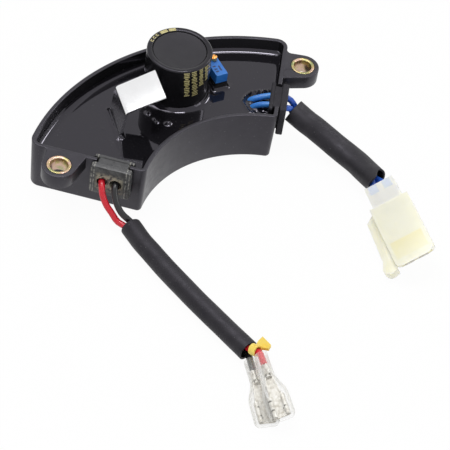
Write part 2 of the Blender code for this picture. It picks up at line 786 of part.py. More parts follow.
def make_trimmer(body_looks, screw_looks):
    width, length, height = TRIMMER_SIZE
    bottom = TRIMMER_TOP - height
    body = box("trimmer_body", (-width / 2, -length / 2, bottom), (width / 2, length / 2, TRIMMER_TOP))
    trimmer = place("trimmer_body", body, trimmer_matrix(), body_looks)
    join(trimmer, *trimmer_pins(0, SEAT, bottom + GAP))
    spot = trimmer_matrix() @ Matrix.Translation((*SCREW_OFFSET, 0))
    floor = TRIMMER_TOP - SCREW_STEM_LENGTH - GAP
    reach = SCREW_STEM_RADIUS + SNUG
    bore = turned("screw_bore", [(0, ABOVE), (reach, ABOVE), (reach, floor), (0, floor)])
    bore_cutter = place("screw_bore", bore, spot)
    turn(bore_cutter)
    cut(trimmer, bore_cutter)
    head_bottom = TRIMMER_TOP + GAP
    head_top = head_bottom + SCREW_HEAD_HEIGHT
    chamfer = SCREW_HEAD_RADIUS / 5
    profile = [
        (0, head_top),
        (SCREW_HEAD_RADIUS - chamfer, head_top),
        (SCREW_HEAD_RADIUS, head_top - chamfer),
        (SCREW_HEAD_RADIUS, head_bottom),
        (SCREW_STEM_RADIUS, head_bottom),
        (SCREW_STEM_RADIUS, TRIMMER_TOP - SCREW_STEM_LENGTH),
        (0, TRIMMER_TOP - SCREW_STEM_LENGTH),
    ]
    screw = place("trimmer_screw", turned("trimmer_screw", profile), spot, screw_looks)
    turn(screw)
    breadth, depth = SCREW_SLOT
    reach = 2 * SCREW_HEAD_RADIUS
    slot = box("screw_slot", (-reach, -breadth / 2, head_top - depth), (reach, breadth / 2, ABOVE))
    cut(screw, place("screw_slot", slot, spot @ Matrix.Rotation(SCREW_SLOT_TURN, 4, "Z")))


def trimmer_pocket():
    width, length, height = TRIMMER_SIZE
    low = (-width / 2 - GAP, -length / 2 - GAP, TRIMMER_TOP - height - GAP)
    high = (width / 2 + GAP, length / 2 + GAP, ABOVE)
    pocket = place("trimmer_pocket", box("trimmer_pocket", low, high), trimmer_matrix())
    return [pocket, *trimmer_pins(GAP, FLOOR, TRIMMER_TOP - height)]


# Heat-sink plate and the transistor on its foot


def plate_matrix():
    """X from the plate's foot towards its shelf, Y along its width, at the potting's surface."""
    return Matrix.Translation((*PLATE_FOOT, 0)) @ Matrix.Rotation(-PLATE_TURN, 4, "Z")


def plate_outline(thickness, foot, shelf):
    """Side view of the bent plate: a leaning leg, a round bend and a rising shelf."""
    half = thickness / 2
    leg = pi / 2 - PLATE_LEAN
    bend = PLATE_BEND_RADIUS
    corner_x = (PLATE_BEND_HEIGHT - RESIN_TOP) / sin(leg) * cos(leg)
    setback = bend / cos((leg - PLATE_SHELF_RISE) / 2) * sin((leg - PLATE_SHELF_RISE) / 2)
    start = (corner_x - setback * cos(leg), PLATE_BEND_HEIGHT - setback * sin(leg))
    middle = (start[0] + bend * sin(leg), start[1] - bend * cos(leg))
    low = (start[0] - (start[1] - foot) / sin(leg) * cos(leg), foot)
    end = (
        corner_x + shelf * cos(PLATE_SHELF_RISE),
        PLATE_BEND_HEIGHT + shelf * sin(PLATE_SHELF_RISE),
    )
    first = leg + pi / 2
    last = PLATE_SHELF_RISE + pi / 2
    outline = [(low[0] + half * cos(first), low[1] + half * sin(first))]
    outline += arc(middle, bend + half, first, last, 6)
    outline.append((end[0] + half * cos(last), end[1] + half * sin(last)))
    outline.append((end[0] - half * cos(last), end[1] - half * sin(last)))
    outline += arc(middle, bend - half, last, first, 6)
    outline.append((low[0] - half * cos(first), low[1] - half * sin(first)))
    return outline


def plate_solid(name, thickness, width, foot, shelf, looks=None):
    upright = plate_matrix() @ Matrix.Rotation(pi / 2, 4, "X")
    return place(name, prism(name, [plate_outline(thickness, foot, shelf)], width), upright, looks)


def transistor_matrix():
    """On the leg's outer face, just above the board, leaning with the leg."""
    drop = RESIN_TOP - SEAT
    foot = Matrix.Translation((-drop * sin(PLATE_LEAN) / cos(PLATE_LEAN), 0, SEAT))
    return plate_matrix() @ foot @ Matrix.Rotation(PLATE_LEAN, 4, "Y")


def make_transistor(looks):
    deep, wide, tall = TRANSISTOR_SIZE
    face = -PLATE_THICKNESS / 2 - GAP
    body = box(
        "power_transistor",
        (face - deep, -wide / 2, TRANSISTOR_LIFT),
        (face, wide / 2, TRANSISTOR_LIFT + tall),
    )
    transistor = place("power_transistor", body, transistor_matrix(), looks)
    half_deep, half_wide = (size / 2 for size in TRANSISTOR_LEAD)
    for n in (-1, 0, 1):
        y = n * TRANSISTOR_LEAD_PITCH
        x = face - deep / 2
        lead = box(
            "transistor_lead",
            (x - half_deep, y - half_wide, GAP),
            (x + half_deep, y + half_wide, TRANSISTOR_LIFT + GAP),
        )
        join(transistor, place("transistor_lead", lead, transistor_matrix()))


def transistor_pocket():
    deep, wide, tall = TRANSISTOR_SIZE
    face = -PLATE_THICKNESS / 2
    pocket = box(
        "transistor_pocket",
        (face - deep - 2 * GAP, -wide / 2 - GAP, -FLOOR),
        (face + PLATE_THICKNESS / 2, wide / 2 + GAP, TRANSISTOR_LIFT + tall + GAP),
    )
    return place("transistor_pocket", pocket, transistor_matrix())


def make_rectifier(looks):
    profile = [
        (0, SEAT + RECTIFIER_HEIGHT),
        (RECTIFIER_RADIUS, SEAT + RECTIFIER_HEIGHT),
        (RECTIFIER_RADIUS, SEAT),
        (0, SEAT),
    ]
    inset, down = RECTIFIER_INSET
    spot = Matrix.Translation(end_point(-1, -inset, OUTER_RADIUS - down, 0))
    turn(place("bridge_rectifier", turned("bridge_rectifier", profile), spot, looks))
    reach = RECTIFIER_RADIUS + GAP
    top = SEAT + RECTIFIER_HEIGHT + GAP
    pocket = place(
        "rectifier_pocket", turned("rectifier_pocket", [(0, top), (reach, top), (reach, 0), (0, 0)]), spot
    )
    turn(pocket)
    return pocket


def make_chip(looks):
    half = Vector((CHIP_SIZE[0] / 2, CHIP_SIZE[1] / 2, 0))
    centre = Vector((*CHIP_CENTRE, SEAT))
    top = Vector((0, 0, CHIP_SIZE[2]))
    grow = Vector((GAP, GAP, 0))
    lift = Vector((0, 0, GAP))
    below = Vector((0, 0, SEAT))
    place("control_chip", box("control_chip", centre - half, centre + half + top), looks=looks)
    low = centre - half - grow - below
    high = centre + half + grow + top + lift
    return place("chip_pocket", box("chip_pocket", low, high))


# Wires, tubes and what is on them


def entry_points(side, entry):
    return [end_point(side, out, GROMMET_ALONG + across, up) for out, across, up in entry]


def wire_points(entry, drop, in_tube, tail):
    """The middle line of a wire from the board to its end, straight in what holds its end."""
    mouth, end = tail
    return [*smooth_route([*entry, *drop, *in_tube, mouth], WIRE_SPACING), end]


def bore_along(name, points):
    """A round hole for a wire, along the stretch that lies in the potting and the grommet."""
    under = points[0] - Vector((0, 0, points[0].z))
    route = [under, *points[:BORE_POINTS]]
    return place(name, mesh_from_curve(wire_curve(name, route, WIRE_RADIUS + GAP)))


def stadium(width, height, y, steps=16):
    """An upright ring with round ends, across the frame's Y."""
    radius = height / 2
    shift = (width - height) / 2
    right = arc((shift, 0), radius, -pi / 2, pi / 2, steps // 2 - 1)
    left = arc((-shift, 0), radius, pi / 2, 3 * pi / 2, steps // 2 - 1)
    return [Vector((x, y, z)) for x, z in right + left]


def make_cover(name, frame, looks):
    """A clear plug cover: a round barrel that flares into a flat mouth, open at both ends."""
    stations = [(0.0, COVER_BARREL)]
    for n in range(COVER_FLARE_STEPS + 1):
        part = n / COVER_FLARE_STEPS
        grown = part * part * (3 - 2 * part)
        size = [near + (far - near) * grown for near, far in zip(COVER_BARREL, COVER_MOUTH)]
        stations.append((COVER_FLARE_START + COVER_FLARE * part, size))
    stations.append((COVER_LENGTH, COVER_MOUTH))
    inset = 2 * COVER_WALL
    outside = [stadium(width, height, -along) for along, (width, height) in stations]
    inside = [stadium(width - inset, height - inset, -along) for along, (width, height) in stations]
    place(name, loft(name, outside + inside[::-1], closed=True), frame, looks)


def lengthwise(name, outlines, start, end, frame, looks=None):
    """Outlines across a piece, drawn in X and Z, run along its Y between two places."""
    upright = Matrix.Rotation(pi / 2, 4, "X")
    middle = Matrix.Translation((0, (start + end) / 2, 0))
    return place(name, prism(name, outlines, abs(end - start)), frame @ middle @ upright, looks)


def make_plug(name, frame, looks):
    """A folded flat plug: crimp barrel on the wire, neck, and a receptacle with rolled edges."""
    sheet = PLUG_SHEET
    width, height, length = PLUG_RECEPTACLE
    inner = WIRE_RADIUS + SNUG
    barrel_start = -WIRE_IN_COVER + PLUG_BARREL_LENGTH / 2
    barrel_end = barrel_start - PLUG_BARREL_LENGTH
    mouth = -COVER_LENGTH + PLUG_END_GAP
    back = mouth + length
    base = -height / 2
    curl = height / 2
    edge = width / 2 - curl
    overlap = sheet / 4
    floor_strip = box(name, (-edge - overlap, mouth, base), (edge + overlap, back, base + sheet))
    plug = place(name, floor_strip, frame, looks)
    for sense in (-1, 1):
        outer = arc((edge, base + curl), curl, -pi / 2, pi * 0.75, 8)
        core = arc((edge, base + curl), curl - sheet, pi * 0.75, -pi / 2, 8)
        outline = [(sense * x, z) for x, z in outer + core]
        join(plug, lengthwise(name + "_roll", [outline], mouth, back, frame))
    wire_end = -WIRE_IN_COVER - GAP
    neck = box(name + "_neck", (-inner, back - sheet, base), (inner, wire_end, base + sheet))
    join(plug, place(name + "_neck", neck, frame))
    wrap = arc((0, 0), inner + PLUG_CRIMP_SHEET, radians(100), radians(440), 16)
    wrap += arc((0, 0), inner, radians(440), radians(100), 16)
    join(plug, lengthwise(name + "_barrel", [wrap], barrel_end, barrel_start, frame))


def make_marker(points, looks):
    """A yellow tag: a loose loop round the wire with a flag on one side."""
    begin = Vector(points[0])
    ahead = (Vector(points[1]) - begin).normalized()
    side = ahead.cross(Vector((0, 0, 1))).normalized()
    frame = Matrix((-side, -ahead, side.cross(ahead))).transposed().to_4x4()
    frame.translation = begin
    flag_length, flag_thickness = MARKER_FLAG
    half = flag_thickness / 2
    spread = atan2(half, sqrt(MARKER_RADIUS ** 2 - half ** 2))
    rise = MARKER_FLAG_RISE
    outline = arc(MARKER_SHIFT, MARKER_RADIUS, rise + spread, rise + 2 * pi - spread, 24)
    for corner in (-half, half):
        x = MARKER_SHIFT[0] + flag_length * cos(rise) - corner * sin(rise)
        z = MARKER_SHIFT[1] + flag_length * sin(rise) + corner * cos(rise)
        outline.append((x, z))
    hole = ring_outline(MARKER_BORE, 16)
    lengthwise("wire_marker", [outline, hole], -MARKER_START, -MARKER_START - MARKER_LENGTH, frame, looks)


# Connector


def connector_outline():
    width, length, _ = CONNECTOR_SIZE
    left, right = CONNECTOR_MOUTH_ROUND
    outline = [(0, 0)]
    outline += arc((left, -length + left), left, pi, 1.5 * pi, 5)
    outline += arc((width - right, -length + right), right, -pi / 2, 0, 5)
    outline.append((width, 0))
    return outline


def latch_outline():
    """The side latch from above: a rail on the shell that runs on as a free lever with a foot."""
    length = CONNECTOR_SIZE[1]
    gap = LATCH_GAP
    reach = LATCH_REACH
    near, far = LATCH_SHOULDER
    foot_centre = (LATCH_FOOT_CENTRE[0] - reach, LATCH_FOOT_CENTRE[1] - length)
    return [
        (CONNECTOR_WALL / 2, -near),
        (-gap, -near),
        (LATCH_SLANT - reach, -far),
        (-reach, LATCH_FOOT_START - length),
        *arc(foot_centre, LATCH_FOOT_RADIUS, pi * 0.9, pi * 1.72, 6),
        (-gap, LATCH_FOOT_END - length),
        (-gap, -LATCH_ROOT),
        (CONNECTOR_WALL / 2, -LATCH_ROOT),
    ]


def cell_centres():
    middle = REAR_BLOCK_OFFSET[0] + REAR_BLOCK_SIZE[0] / 2
    height = REAR_BLOCK_OFFSET[1] + REAR_BLOCK_SIZE[2] / 2
    return [(middle - CELL_PITCH / 2, height), (middle + CELL_PITCH / 2, height)]


def make_connector(frame, looks):
    width, length, height = CONNECTOR_SIZE
    shell_mesh = prism("connector_shell", [connector_outline()], height)
    shell = place("connector_shell", shell_mesh, frame @ Matrix.Translation((0, 0, height / 2)), looks)
    block_width, block_length, block_height = REAR_BLOCK_SIZE
    x, z = REAR_BLOCK_OFFSET
    block = box("rear_block", (x, -CONNECTOR_WALL, z), (x + block_width, block_length, z + block_height))
    join(shell, place("rear_block", block, frame))
    latch_middle = Matrix.Translation((0, 0, LATCH_BOTTOM + LATCH_HEIGHT / 2))
    join(shell, place("latch", prism("latch", [latch_outline()], LATCH_HEIGHT), frame @ latch_middle))
    wall = CONNECTOR_WALL
    mouth_start = -length + CONNECTOR_MOUTH_DEPTH
    mouth = box("mouth", (wall, -length - wall, wall), (width - wall, mouth_start, height - wall))
    cut(shell, place("mouth", mouth, frame))
    for cell_x, cell_z in cell_centres():
        half_x, half_z = (size / 2 for size in CELL_SIZE)
        low = (cell_x - half_x, mouth_start - wall, cell_z - half_z)
        high = (cell_x + half_x, block_length + wall, cell_z + half_z)
        cut(shell, place("cell", box("cell", low, high), frame))


def make_tab(name, frame, centre, looks):
    """A contact: a crimp barrel on the wire and a flat tab that reaches into the mouth."""
    length = CONNECTOR_SIZE[1]
    width, thickness = TAB_SIZE
    barrel_start = WIRE_IN_CELL
    inner = WIRE_RADIUS + SNUG
    x, z = centre
    base = z - inner - thickness
    tip = -length + CONNECTOR_MOUTH_DEPTH - TAB_REACH
    blade = box(name, (x - width / 2, tip, base), (x + width / 2, barrel_start, base + thickness))
    tab = place(name, blade, frame, looks)
    wrap = arc((x, z), inner + PLUG_SHEET, radians(110), radians(430), 16)
    wrap += arc((x, z), inner, radians(430), radians(110), 16)
    join(tab, lengthwise(name + "_barrel", [wrap], 0.0, barrel_start + inner, frame))


def main():
    black_plastic = material("black_plastic", (0.02, 0.02, 0.022), 0.35)
    sleeve_steel = material("zinc_steel", (0.62, 0.55, 0.36), 0.3, 1.0)
    resin_looks = material("black_resin", (0.012, 0.012, 0.014), 0.08)
    board_looks = material("board_green", (0.05, 0.2, 0.09), 0.5)
    can_looks = material("aluminium_can", (0.6, 0.6, 0.6), 0.35, 1.0)
    film_looks = material("black_film", (0.01, 0.01, 0.01), 0.12)
    disc_looks = material("grey_disc", (0.035, 0.035, 0.037), 0.5)
    blue_looks = material("blue_case", (0.03, 0.22, 0.75), 0.4)
    brass_looks = material("brass_screw", (0.7, 0.5, 0.22), 0.3, 1.0)
    plate_looks = material("bright_plate", (0.85, 0.86, 0.87), 0.15, 1.0)
    grey_rubber = material("grey_rubber", (0.3, 0.3, 0.28), 0.5)
    black_rubber = material("black_rubber", (0.02, 0.02, 0.02), 0.6)
    device_looks = material("device_black", (0.03, 0.03, 0.03), 0.5)
    red_looks = material("red_wire", (0.65, 0.01, 0.02), 0.35)
    black_wire_looks = material("black_wire", (0.01, 0.01, 0.01), 0.35)
    blue_wire_looks = material("blue_wire", (0.06, 0.25, 0.8), 0.35)
    tube_looks = material("black_tube", (0.015, 0.015, 0.015), 0.45)
    yellow_looks = material("yellow_tag", (0.9, 0.6, 0.02), 0.4)
    clear_looks = material("clear_cover", (0.85, 0.83, 0.78), 0.2, alpha=0.4)
    tin_looks = material("tinned_brass", (0.75, 0.74, 0.7), 0.3, 1.0)
    nylon_looks = material("cream_nylon", (0.78, 0.74, 0.55), 0.4)

    make_tray(black_plastic)
    for side, word in ((-1, "left"), (1, "right")):
        make_ear_sleeve(side, word, sleeve_steel)

    black_frame = lying_matrix(BLACK_COVER_START, BLACK_COVER_HEADING, BLACK_COVER_DIP, BLACK_COVER_ROLL)
    red_frame = lying_matrix(RED_COVER_START, RED_COVER_HEADING, RED_COVER_DIP, RED_COVER_ROLL)
    connector_frame = lying_matrix(CONNECTOR_START, CONNECTOR_HEADING, CONNECTOR_DIP, CONNECTOR_ROLL)
    red_tail = [red_frame @ Vector((0, y, 0)) for y in (0, -WIRE_IN_COVER)]
    black_tail = [black_frame @ Vector((0, y, 0)) for y in (0, -WIRE_IN_COVER)]
    cell_b, cell_a = cell_centres()
    cell_steps = (REAR_BLOCK_SIZE[1], WIRE_IN_CELL)
    blue_a_tail = [connector_frame @ Vector((cell_a[0], y, cell_a[1])) for y in cell_steps]
    blue_b_tail = [connector_frame @ Vector((cell_b[0], y, cell_b[1])) for y in cell_steps]
    red_in_tube = pair_in_tube(LEFT_TUBE_ROUTE, LEFT_TUBE_TWIST, 1)
    red_lead_in = red_frame @ Vector((0, WIRE_LEAD_IN, 0))
    black_in_tube = pair_in_tube(LEFT_TUBE_ROUTE, LEFT_TUBE_TWIST, -1)
    blue_a_in_tube = pair_in_tube(RIGHT_TUBE_ROUTE, RIGHT_TUBE_TWIST, 1)
    blue_b_in_tube = pair_in_tube(RIGHT_TUBE_ROUTE, RIGHT_TUBE_TWIST, -1)
    wires = {
        "red": wire_points(entry_points(-1, RED_ENTRY), RED_DROP, [*red_in_tube, red_lead_in], red_tail),
        "black": wire_points(entry_points(-1, BLACK_ENTRY), BLACK_DROP, black_in_tube, black_tail),
        "blue_a": wire_points(entry_points(1, BLUE_A_ENTRY), BLUE_A_DROP, blue_a_in_tube, blue_a_tail),
        "blue_b": wire_points(entry_points(1, BLUE_B_ENTRY), BLUE_B_DROP, blue_b_in_tube, blue_b_tail),
    }
    bores = {word: bore_along(word + "_bore", points) for word, points in wires.items()}
    left_bores = [bores["red"], bores["black"]]
    right_bores = [bores["blue_a"], bores["blue_b"]]
    make_grommet(-1, "left", left_bores, grey_rubber)
    make_grommet(1, "right", right_bores, black_rubber)

    make_board(board_looks)
    make_capacitor(can_looks, film_looks, disc_looks)
    make_trimmer(blue_looks, brass_looks)
    plate_foot = SEAT + GAP
    plate_solid("heat_sink_tab", PLATE_THICKNESS, PLATE_WIDTH, plate_foot, PLATE_SHELF, plate_looks)
    slot_width = PLATE_WIDTH + 2 * GAP
    plate_slot = plate_solid("tab_slot", PLATE_THICKNESS + 2 * GAP, slot_width, FLOOR, GAP)
    make_transistor(device_looks)
    rectifier_pocket = make_rectifier(device_looks)
    chip_pocket = make_chip(device_looks)
    pockets = [grommet_pocket(-1, "left"), grommet_pocket(1, "right"), capacitor_hole(), plate_slot]
    pockets += [transistor_pocket(), rectifier_pocket, chip_pocket, *trimmer_pocket()]
    make_resin([*pockets, *left_bores, *right_bores], resin_looks)

    names = ("red_wire", "black_wire", "blue_wire_a", "blue_wire_b")
    wire_looks = (red_looks, black_wire_looks, blue_wire_looks, blue_wire_looks)
    for name, points, looks in zip(names, wires.values(), wire_looks):
        place(name, wire_curve(name, points, WIRE_RADIUS), looks=looks)
    tube_sleeve("left_cable_sleeve", LEFT_TUBE_ROUTE, LEFT_TUBE, tube_looks)
    tube_sleeve("right_cable_sleeve", RIGHT_TUBE_ROUTE, RIGHT_TUBE, tube_looks)
    make_marker([red_in_tube[-1], red_lead_in], yellow_looks)
    make_cover("black_plug_cover", black_frame, clear_looks)
    make_cover("red_plug_cover", red_frame, clear_looks)
    make_plug("black_flat_plug", black_frame, tin_looks)
    make_plug("red_flat_plug", red_frame, tin_looks)

    make_connector(connector_frame, nylon_looks)
    for centre, letter in zip(cell_centres(), "ba"):
        make_tab("connector_tab_" + letter, connector_frame, centre, tin_looks)


main()
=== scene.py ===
"""Looks of the potted voltage regulator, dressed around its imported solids. Metres, +Z up."""

from math import asin, atan2, cos, exp, hypot, pi, radians, sin, sqrt

import bmesh
import bpy
from mathutils import Matrix, Vector, noise


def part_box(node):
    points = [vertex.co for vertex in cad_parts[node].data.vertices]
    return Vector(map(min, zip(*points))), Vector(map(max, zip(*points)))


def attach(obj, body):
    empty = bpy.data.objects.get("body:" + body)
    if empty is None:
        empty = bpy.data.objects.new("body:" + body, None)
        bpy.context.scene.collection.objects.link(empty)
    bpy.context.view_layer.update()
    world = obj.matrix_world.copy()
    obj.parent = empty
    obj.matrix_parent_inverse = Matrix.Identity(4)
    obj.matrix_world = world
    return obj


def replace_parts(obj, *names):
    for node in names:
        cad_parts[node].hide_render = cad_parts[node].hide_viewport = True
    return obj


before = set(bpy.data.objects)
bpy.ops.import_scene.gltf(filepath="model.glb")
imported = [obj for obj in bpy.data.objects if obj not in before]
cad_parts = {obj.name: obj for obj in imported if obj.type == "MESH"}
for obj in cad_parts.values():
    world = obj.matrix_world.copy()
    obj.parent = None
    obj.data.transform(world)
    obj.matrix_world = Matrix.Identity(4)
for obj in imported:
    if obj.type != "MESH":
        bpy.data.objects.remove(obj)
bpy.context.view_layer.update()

# Camera, as fitted to the photograph
CAMERA_PLACE = (-0.354602, -0.424291, 0.555306)
CAMERA_DOWN = radians(46.840)
CAMERA_AZIMUTH = radians(42.131)
CAMERA_ROLL = radians(9.680)
CAMERA_LENS = 165.2

# Tray, repeated from the part's source
OUTER_RADIUS = 0.0884
INNER_RADIUS = 0.0443
END_ANGLE = radians(41.8)
TRAY_HEIGHT = 0.022
WALL = 0.0016
FLOOR = 0.002
DRAFT = 0.0245
OUTER_CORNER = 0.0043
INNER_CORNER = 0.0023
LEAST_CORNER = 0.0004
BOTTOM_EDGE = 0.0012
RIM_ROUND = 0.00035
EAR_REACH = 0.00674
EAR_ALONG = 0.07498
EAR_RADIUS = 0.0063
EAR_THICKNESS = 0.006
EAR_ROOT = 0.0085
EAR_FILLET = 0.0018
ARC_CENTRE_Y = -(EAR_ALONG * cos(END_ANGLE) - EAR_REACH * sin(END_ANGLE))
SLEEVE_OUTER = 0.0045
SLEEVE_BORE = 0.0033
SLEEVE_CLEARANCE = 0.00015
EJECTOR_MARKS = ((0.0479, -0.0010, 0.0024), (-0.0575, 0.0092, 0.0024))
MARK_GROOVE = (0.00012, 0.00006)
WET_LEAST = 0.25
WET_FROM = -0.048
WET_OVER = 0.03
WET_GLOSS = 0.07

# Grommets
GROMMET_ALONG = 0.0566
GROMMET_HALF = 0.0077
GROMMET_NECK_HALF = 0.00595
GROMMET_BOTTOM = 0.0084
GROMMET_TOP = 0.0218
GROMMET_NECK_DROP = 0.00145
GROMMET_FACE = 0.0029
GROMMET_BACK = -0.0038
GROMMET_NECK = (0.0003, -0.0022)
GROMMET_EDGE = 0.0003
WIRE_MOUTH = 0.0019
LEFT_MOUTHS = ((0.0030, 0.0146, WIRE_MOUTH), (-0.0022, 0.0146, WIRE_MOUTH + 0.0003))
RIGHT_MOUTHS = ((0.0043, 0.0172, WIRE_MOUTH - 0.0003), (-0.0010, 0.0172, WIRE_MOUTH - 0.0003))
SMEAR_ALONG = (0.0520, 0.0616)
SMEAR_UP = (0.0106, 0.0186)
SMEAR_EDGES = (0.0496, 0.0508, 0.0628, 0.0637)
SMEAR_SOFT = 0.0009
SMEAR_LINE = 0.00018

# Potting
RESIN_TOP = 0.0158
RESIN_BOTTOM = 0.0026
WALL_CLIMB = (0.0014, 0.00075)
PIT_OUTLINE = (
    (-0.01405, 0.0567), (-0.0132, 0.0597), (-0.0116, 0.0621), (-0.0079, 0.0638),
    (-0.0049, 0.0646), (-0.0032, 0.0638), (-0.0026, 0.0572), (-0.0029, 0.0527),
    (-0.0051, 0.0516), (-0.0077, 0.0510), (-0.0104, 0.0512), (-0.0122, 0.0538),
)
PIT_DEPTH = 0.0010
LUMPS = (
    (-0.0043, 0.0160, 0.0010, 0.0009),
    (-0.0076, 0.0117, 0.0010, 0.0010),
    (-0.0074, 0.0079, 0.0007, 0.0006),
    (-0.0073, 0.0061, 0.0008, 0.0006),
    (-0.0043, 0.0038, 0.0013, 0.0011),
    (-0.0274, 0.0127, 0.0004, 0.0003),
    (-0.0254, 0.0057, 0.0005, 0.0005),
    (-0.0238, 0.0054, 0.0006, 0.0006),
    (-0.0170, 0.0030, 0.0007, 0.0003),
)

# Capacitor
CAPACITOR_CENTRE = (0.0086, 0.0183)
CAPACITOR_RADIUS = 0.0124
CAPACITOR_TOP = 0.0358
CAPACITOR_RIM = 0.0021
CAPACITOR_CROWN = 0.0007
CAPACITOR_DISC = 0.0352
CAPACITOR_DISC_BOTTOM = 0.0345

# Print bars on its side: angle, height and width at the top, the same at the foot, rows, stroke
INK_COLUMNS = (
    ((-112.0, 0.0350, 0.0022), (-106.5, 0.0228, 0.0021), 13, 0.00052),
    ((-98.6, 0.0352, 0.0021), (-90.5, 0.0222, 0.0026), 15, 0.00040),
    ((-84.0, 0.0352, 0.0017), (-78.5, 0.0262, 0.0023), 11, 0.00040),
    ((-70.6, 0.0350, 0.0021), (-65.0, 0.0270, 0.0017), 9, 0.00038),
    ((-58.0, 0.0346, 0.0009), (-56.0, 0.0290, 0.0009), 3, 0.00030),
)
INK_LENGTHS = (1.0, 0.86, 1.0, 0.55)
INK_BLOCKS = ((89.5, 0.0031), (71.0, 0.0027))

# Trimmer
TRIMMER_CENTRE = (0.02465, 0.01462)
TRIMMER_TURN = radians(-8.43)
TRIMMER_SIZE = (0.0048, 0.0095)
TRIMMER_TOP = 0.023
TRIMMER_COAT_TOP = 0.0190
SCREW_OFFSET = (0.0005, 0.00355)
SCREW_HEAD_RADIUS = 0.0011
SCREW_HEAD_BOTTOM = 0.0233
SCREW_HEAD_TOP = 0.0250
SCREW_SLOT = (0.0005, 0.0006)
SCREW_SLOT_TURN = radians(30)
COAT_CORNER = 0.0003
TRIMMER_COAT = (
    (0.0, 0.0001), (0.0006, 0.00035), (0.0016, 0.00042), (0.0028, 0.0005), (0.0040, 0.0009), (0.0052, 0.0016),
)

# Heat plate
PLATE_FOOT = (-0.02194, 0.01299)
PLATE_TURN = radians(17.9)
PLATE_WIDTH = 0.0145
PLATE_THICKNESS = 0.001
PLATE_LEAN = radians(8.2)
PLATE_BEND_HEIGHT = 0.0276
PLATE_BEND_RADIUS = 0.0014
PLATE_SHELF = 0.0155
PLATE_SHELF_RISE = radians(22.3)
PLATE_START = 0.0148

# Cables, repeated from the part's source: out of the wall, away from the grommet's middle, up
WIRE_RADIUS = 0.0012
WIRE_SPREAD = 0.0029
STEP = 0.0015
RED_ENTRY = ((0.0, 0.0030, 0.0144), (0.0029, 0.0030, 0.0146))
BLACK_ENTRY = ((0.0, -0.0022, 0.0144), (0.0034, -0.0022, 0.0146))
BLUE_A_INSIDE = (
    (-0.0122, 0.0027, 0.0105), (-0.0113, 0.0028, 0.0138), (-0.0088, 0.0030, 0.0158),
    (-0.0039, 0.0040, 0.0172), (0.0, 0.0043, 0.0175),
)
BLUE_B_INSIDE = (
    (-0.0110, -0.0008, 0.0105), (-0.0101, -0.0007, 0.0138), (-0.0076, -0.0006, 0.0158),
    (-0.0039, -0.0009, 0.0172), (0.0, -0.0010, 0.0175),
)
BLUE_A_ENTRY = ((0.0, 0.0043, 0.0175), (0.0034, 0.0043, 0.0170))
BLUE_B_ENTRY = ((0.0, -0.0010, 0.0175), (0.0034, -0.0010, 0.0170))
RED_DROP = (
    (-0.0427, -0.0104, 0.0142), (-0.0436, -0.0126, 0.0120), (-0.0435, -0.0153, 0.0092),
    (-0.0427, -0.0180, 0.0070), (-0.0418, -0.0207, 0.0046),
)
BLACK_DROP = (
    (-0.0401, -0.0152, 0.0126), (-0.0404, -0.0177, 0.0098), (-0.0399, -0.0205, 0.0075),
    (-0.0383, -0.0230, 0.0056),
)
BLUE_A_DROP = ((0.0442, -0.0100, 0.0155),)
BLUE_B_DROP = ((0.0416, -0.0122, 0.0157),)
LEFT_TUBE_ROUTE = (
    (-0.0386, -0.0249, 0.0040), (-0.0391, -0.0322, 0.0040), (-0.0390, -0.0380, 0.0040),
    (-0.0387, -0.0493, 0.0040), (-0.0380, -0.0604, 0.0040), (-0.0371, -0.0713, 0.0040),
    (-0.0360, -0.0819, 0.0040), (-0.0348, -0.0934, 0.0040),
)
RIGHT_TUBE_ROUTE = (
    (0.0437, -0.0127, 0.0133), (0.0456, -0.0173, 0.0116), (0.0475, -0.0202, 0.0101),
    (0.0491, -0.0232, 0.0087), (0.0506, -0.0263, 0.0074), (0.0519, -0.0296, 0.0063),
    (0.0530, -0.0330, 0.0056), (0.0538, -0.0368, 0.0053), (0.0541, -0.0410, 0.0056),
    (0.0537, -0.0460, 0.0064), (0.0529, -0.0514, 0.0078),
)
LEFT_TUBE = (0.0079, 0.0079)
RIGHT_TUBE = (0.0102, 0.0083)
TUBE_WALL = 0.0007
RIGHT_SLANT = {"rows": 4, "turn": radians(35), "reach": 0.0048}
LEFT_TUBE_TWIST = (0.0, pi / 2)
RIGHT_TUBE_TWIST = (pi, pi + radians(25))
RIGHT_TUBE_EARLY = 0.0012
INSULATION = ((0.24, 0.36), 1800, 0.00001)

# Plug covers
COVER_LENGTH = 0.0272
COVER_BARREL = (0.0046, 0.0044)
COVER_MOUTH = (0.0093, 0.0036)
COVER_WALL = 0.0004
MOUTH_CORNER = 0.0024
COVER_FLARE_START = 0.0090
COVER_FLARE = 0.0089
BLACK_COVER = ((-0.0359, -0.0967, 0.0024), radians(22.4), radians(1.08), 0.0)
RED_COVER = ((-0.0340, -0.0992, 0.0074), radians(19.1), radians(1.6), radians(20.7))
WIRE_IN_COVER = 0.0046
WIRE_LEAD_IN = 0.0008

# Flat plugs inside the covers
PLUG_RECEPTACLE = (0.0062, 0.0019, 0.0082)
PLUG_SHEET = 0.0004
PLUG_END_GAP = 0.0010
PLUG_CRIMP = (0.0049, 0.0090)
PLUG_CRIMP_SHEET = 0.00024
PLUG_NECK = (0.0014, 0.0024, 0.0010)
BLACK_PLUG_SLOTS = ((-0.0017, -0.0202), (-0.0015, -0.0239), (0.0019, -0.0232))
RED_PLUG_SLOTS = ((-0.0024, -0.0197), (-0.0024, -0.0234), (0.0017, -0.0231))
PLUG_SLOT_SIZE = (0.0013, 0.0005)

